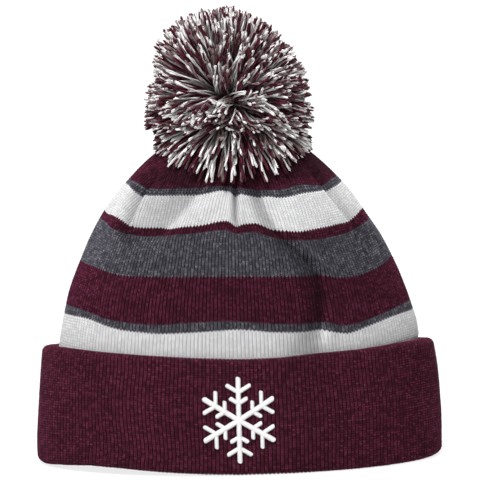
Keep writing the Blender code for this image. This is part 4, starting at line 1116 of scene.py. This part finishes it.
def build_emblem():
    crosses, unders = [], []
    for i in range(6):
        turn = math.radians(60 * i)
        spin = np.array([[math.cos(turn), math.sin(turn)], [-math.sin(turn), math.cos(turn)]])
        bars = [((0.0, -0.0004), (0.0, EMBLEM_RADIUS), EMBLEM_ARM_HALF, 0.00030)]
        for root, length in EMBLEM_BRANCHES:
            b = EMBLEM_BRANCH_HALF
            for mirror in (1, -1):
                out = np.array([math.sin(math.radians(60)) * mirror, 0.5])
                middle = np.array([0.0, root + b / math.sin(math.radians(60))])
                bars.append((middle + out * 0.0012, middle + out * (length + EMBLEM_ARM_HALF + 0.0004), b, 0.00020))
        for start, end, half, lift in bars:
            cross, under = satin(spin @ np.array(start), spin @ np.array(end), half, lift)
            crosses.append(cross)
            unders.append(under)
    cross = np.concatenate(crosses)
    under = np.concatenate(unders)
    threads = tubes("emblem_threads", on_cuff(cross), np.full(cross.shape[:2], 0.00021), 6, 0.0)
    # painted shade: each satin stitch's colour is darker towards its edges
    relief = np.repeat((np.sqrt(np.maximum(0, 1 - np.linspace(-1, 1, 7) ** 2)) * 0.6 + 0.4)[None, :].repeat(len(cross), 0).ravel(), 6)
    threads.data.attributes["relief"].data.foreach_set("value", relief.astype(np.float32))
    below = tubes("emblem_under", on_cuff(under), np.full(under.shape[:2], 0.00042), 5, 0.0)
    piece = joined("cuff_snowflake", [threads, below])
    dress(piece, "cuff", EMBROIDERY, "emblem_thread", "cuff_emblem")


build_emblem()


def build_backing():
    """The cloth behind the embroidery, inside the cuff: a thin sheet with its pressed weave."""
    wide, tall, n, m = 0.060, 0.044, 120, 88
    u, v = np.meshgrid(np.linspace(-0.5, 0.5, n + 1), np.linspace(-0.5, 0.5, m + 1))
    z = EMBLEM_HEIGHT + v * tall
    weave = 0.00003 * np.where((np.arange(n + 1)[None, :] + np.arange(m + 1)[:, None]) % 2, 1, -1)
    mid = cuff_out(z) - CUFF_LAYER - 0.0008
    front, back = [cuff_place(u * wide / REACH, mid + t, z) for t in (0.00015 + weave, -0.00015 + weave)]
    verts = np.concatenate([front.reshape(-1, 3), back.reshape(-1, 3)])
    r, c = np.meshgrid(np.arange(m), np.arange(n), indexing="ij")
    w, base = n + 1, (n + 1) * (m + 1)
    fq = np.stack([r * w + c, r * w + c + 1, (r + 1) * w + c + 1, (r + 1) * w + c], -1).reshape(-1, 4)
    bq = fq[:, ::-1] + base
    loop = np.concatenate([np.arange(n), n + w * np.arange(m), w * m + n - np.arange(n), w * m - w * np.arange(m)])
    nxt = np.roll(loop, -1)
    rim = np.stack([nxt, loop, loop + base, nxt + base], -1)
    cells = [(0.01, 0.49), (0.51, 0.99)]
    quads, uvs = np.concatenate([fq, bq, rim]), []
    uu, vv = (u.ravel() + 0.5), (v.ravel() + 0.5)
    for q, (lo, hi) in ((fq, cells[0]), (bq - base, cells[1])):
        uvs.append(np.stack([lo + (hi - lo) * uu[q], 0.05 + 0.94 * vv[q]], -1))
    k = np.arange(len(rim))
    x0, x1 = k / len(rim), (k + 1) / len(rim)
    uvs.append(np.stack([np.stack([x1, 0 * k + 0.02], -1), np.stack([x0, 0 * k + 0.02], -1), np.stack([x0, 0 * k + 0.01], -1), np.stack([x1, 0 * k + 0.01], -1)], 1))
    # painted shade: the sunk points of the weave get the darker colour
    relief = np.tile(np.where((np.arange(n + 1)[None, :] + np.arange(m + 1)[:, None]) % 2, 1.0, 0.2).ravel(), 2)
    made = make_mesh("emblem_backing", verts, quads, [], [np.concatenate(uvs)], {"relief": relief})
    dress(made, "cuff", BACKING, "stabilizer_cloth", "emblem_stabilizer")


build_backing()


# ------------------------------------------------------------------ floor, light and camera
floor_mesh = bpy.data.meshes.new("studio_floor")
floor_mesh.from_pydata([(-40, -40, 0), (40, -40, 0), (40, 40, 0), (-40, 40, 0)], [], [(0, 1, 2, 3)])
floor = bpy.data.objects.new("studio_floor", floor_mesh)
bpy.context.scene.collection.objects.link(floor)
paint = bpy.data.materials.new("studio_floor_paint")
paint.use_nodes = True
paint.node_tree.nodes["Principled BSDF"].inputs["Base Color"].default_value = (0.22, 0.22, 0.22, 1)
paint.node_tree.nodes["Principled BSDF"].inputs["Roughness"].default_value = 0.9
paint.node_tree.nodes["Principled BSDF"].inputs["Specular IOR Level"].default_value = 0.1
paint.node_tree.nodes["Principled BSDF"].inputs["Emission Color"].default_value = (1.0, 1.0, 1.0, 1.0)
paint.node_tree.nodes["Principled BSDF"].inputs["Emission Strength"].default_value = 0.80
floor_mesh.materials.append(paint)

scene = bpy.context.scene
world = bpy.data.worlds.new("studio")
world.use_nodes = True
world.node_tree.nodes["Background"].inputs["Color"].default_value = (1.0, 1.0, 1.0, 1.0)
world.node_tree.nodes["Background"].inputs["Strength"].default_value = 0.30
scene.world = world
scene.view_settings.view_transform = "Standard"
scene.view_settings.look = "None"
scene.view_settings.exposure = 0.0
scene.view_settings.gamma = 1.0


def sun_light(name, towards, strength, spread):
    """A broad, even light from one side, like a large softbox far away."""
    data = bpy.data.lights.new(name, "SUN")
    data.energy = strength
    data.angle = math.radians(spread)
    made = bpy.data.objects.new(name, data)
    scene.collection.objects.link(made)
    made.location = Vector(towards) * 2.0
    made.rotation_mode = "QUATERNION"
    made.rotation_quaternion = (-Vector(towards)).to_track_quat("-Z", "Y")


sun_light("key_light", (-0.30, -0.66, 1.25), 4.2, 22)
sun_light("front_light", (0.10, -1.00, 0.30), 0.70, 50)
sun_light("back_light", (0.35, 0.95, 0.95), 1.8, 40)
camera = bpy.data.objects.new("camera", bpy.data.cameras.new("camera"))
scene.collection.objects.link(camera)
camera.data.sensor_width = 36.0
camera.data.lens = 500.0
camera.data.clip_start, camera.data.clip_end = 0.1, 100.0
aim = Vector((0.0031, 0.0, 0.1311))
lift = math.radians(7.0)
back_way = Vector((0.0, -math.cos(lift), math.sin(lift)))
camera.location = aim + back_way * 4.0
camera.rotation_mode = "QUATERNION"
camera.rotation_quaternion = (-back_way).to_track_quat("-Z", "Y") @ Quaternion((0, 0, 1), math.radians(-1.35))
scene.camera = camera

bpy.context.view_layer.update()
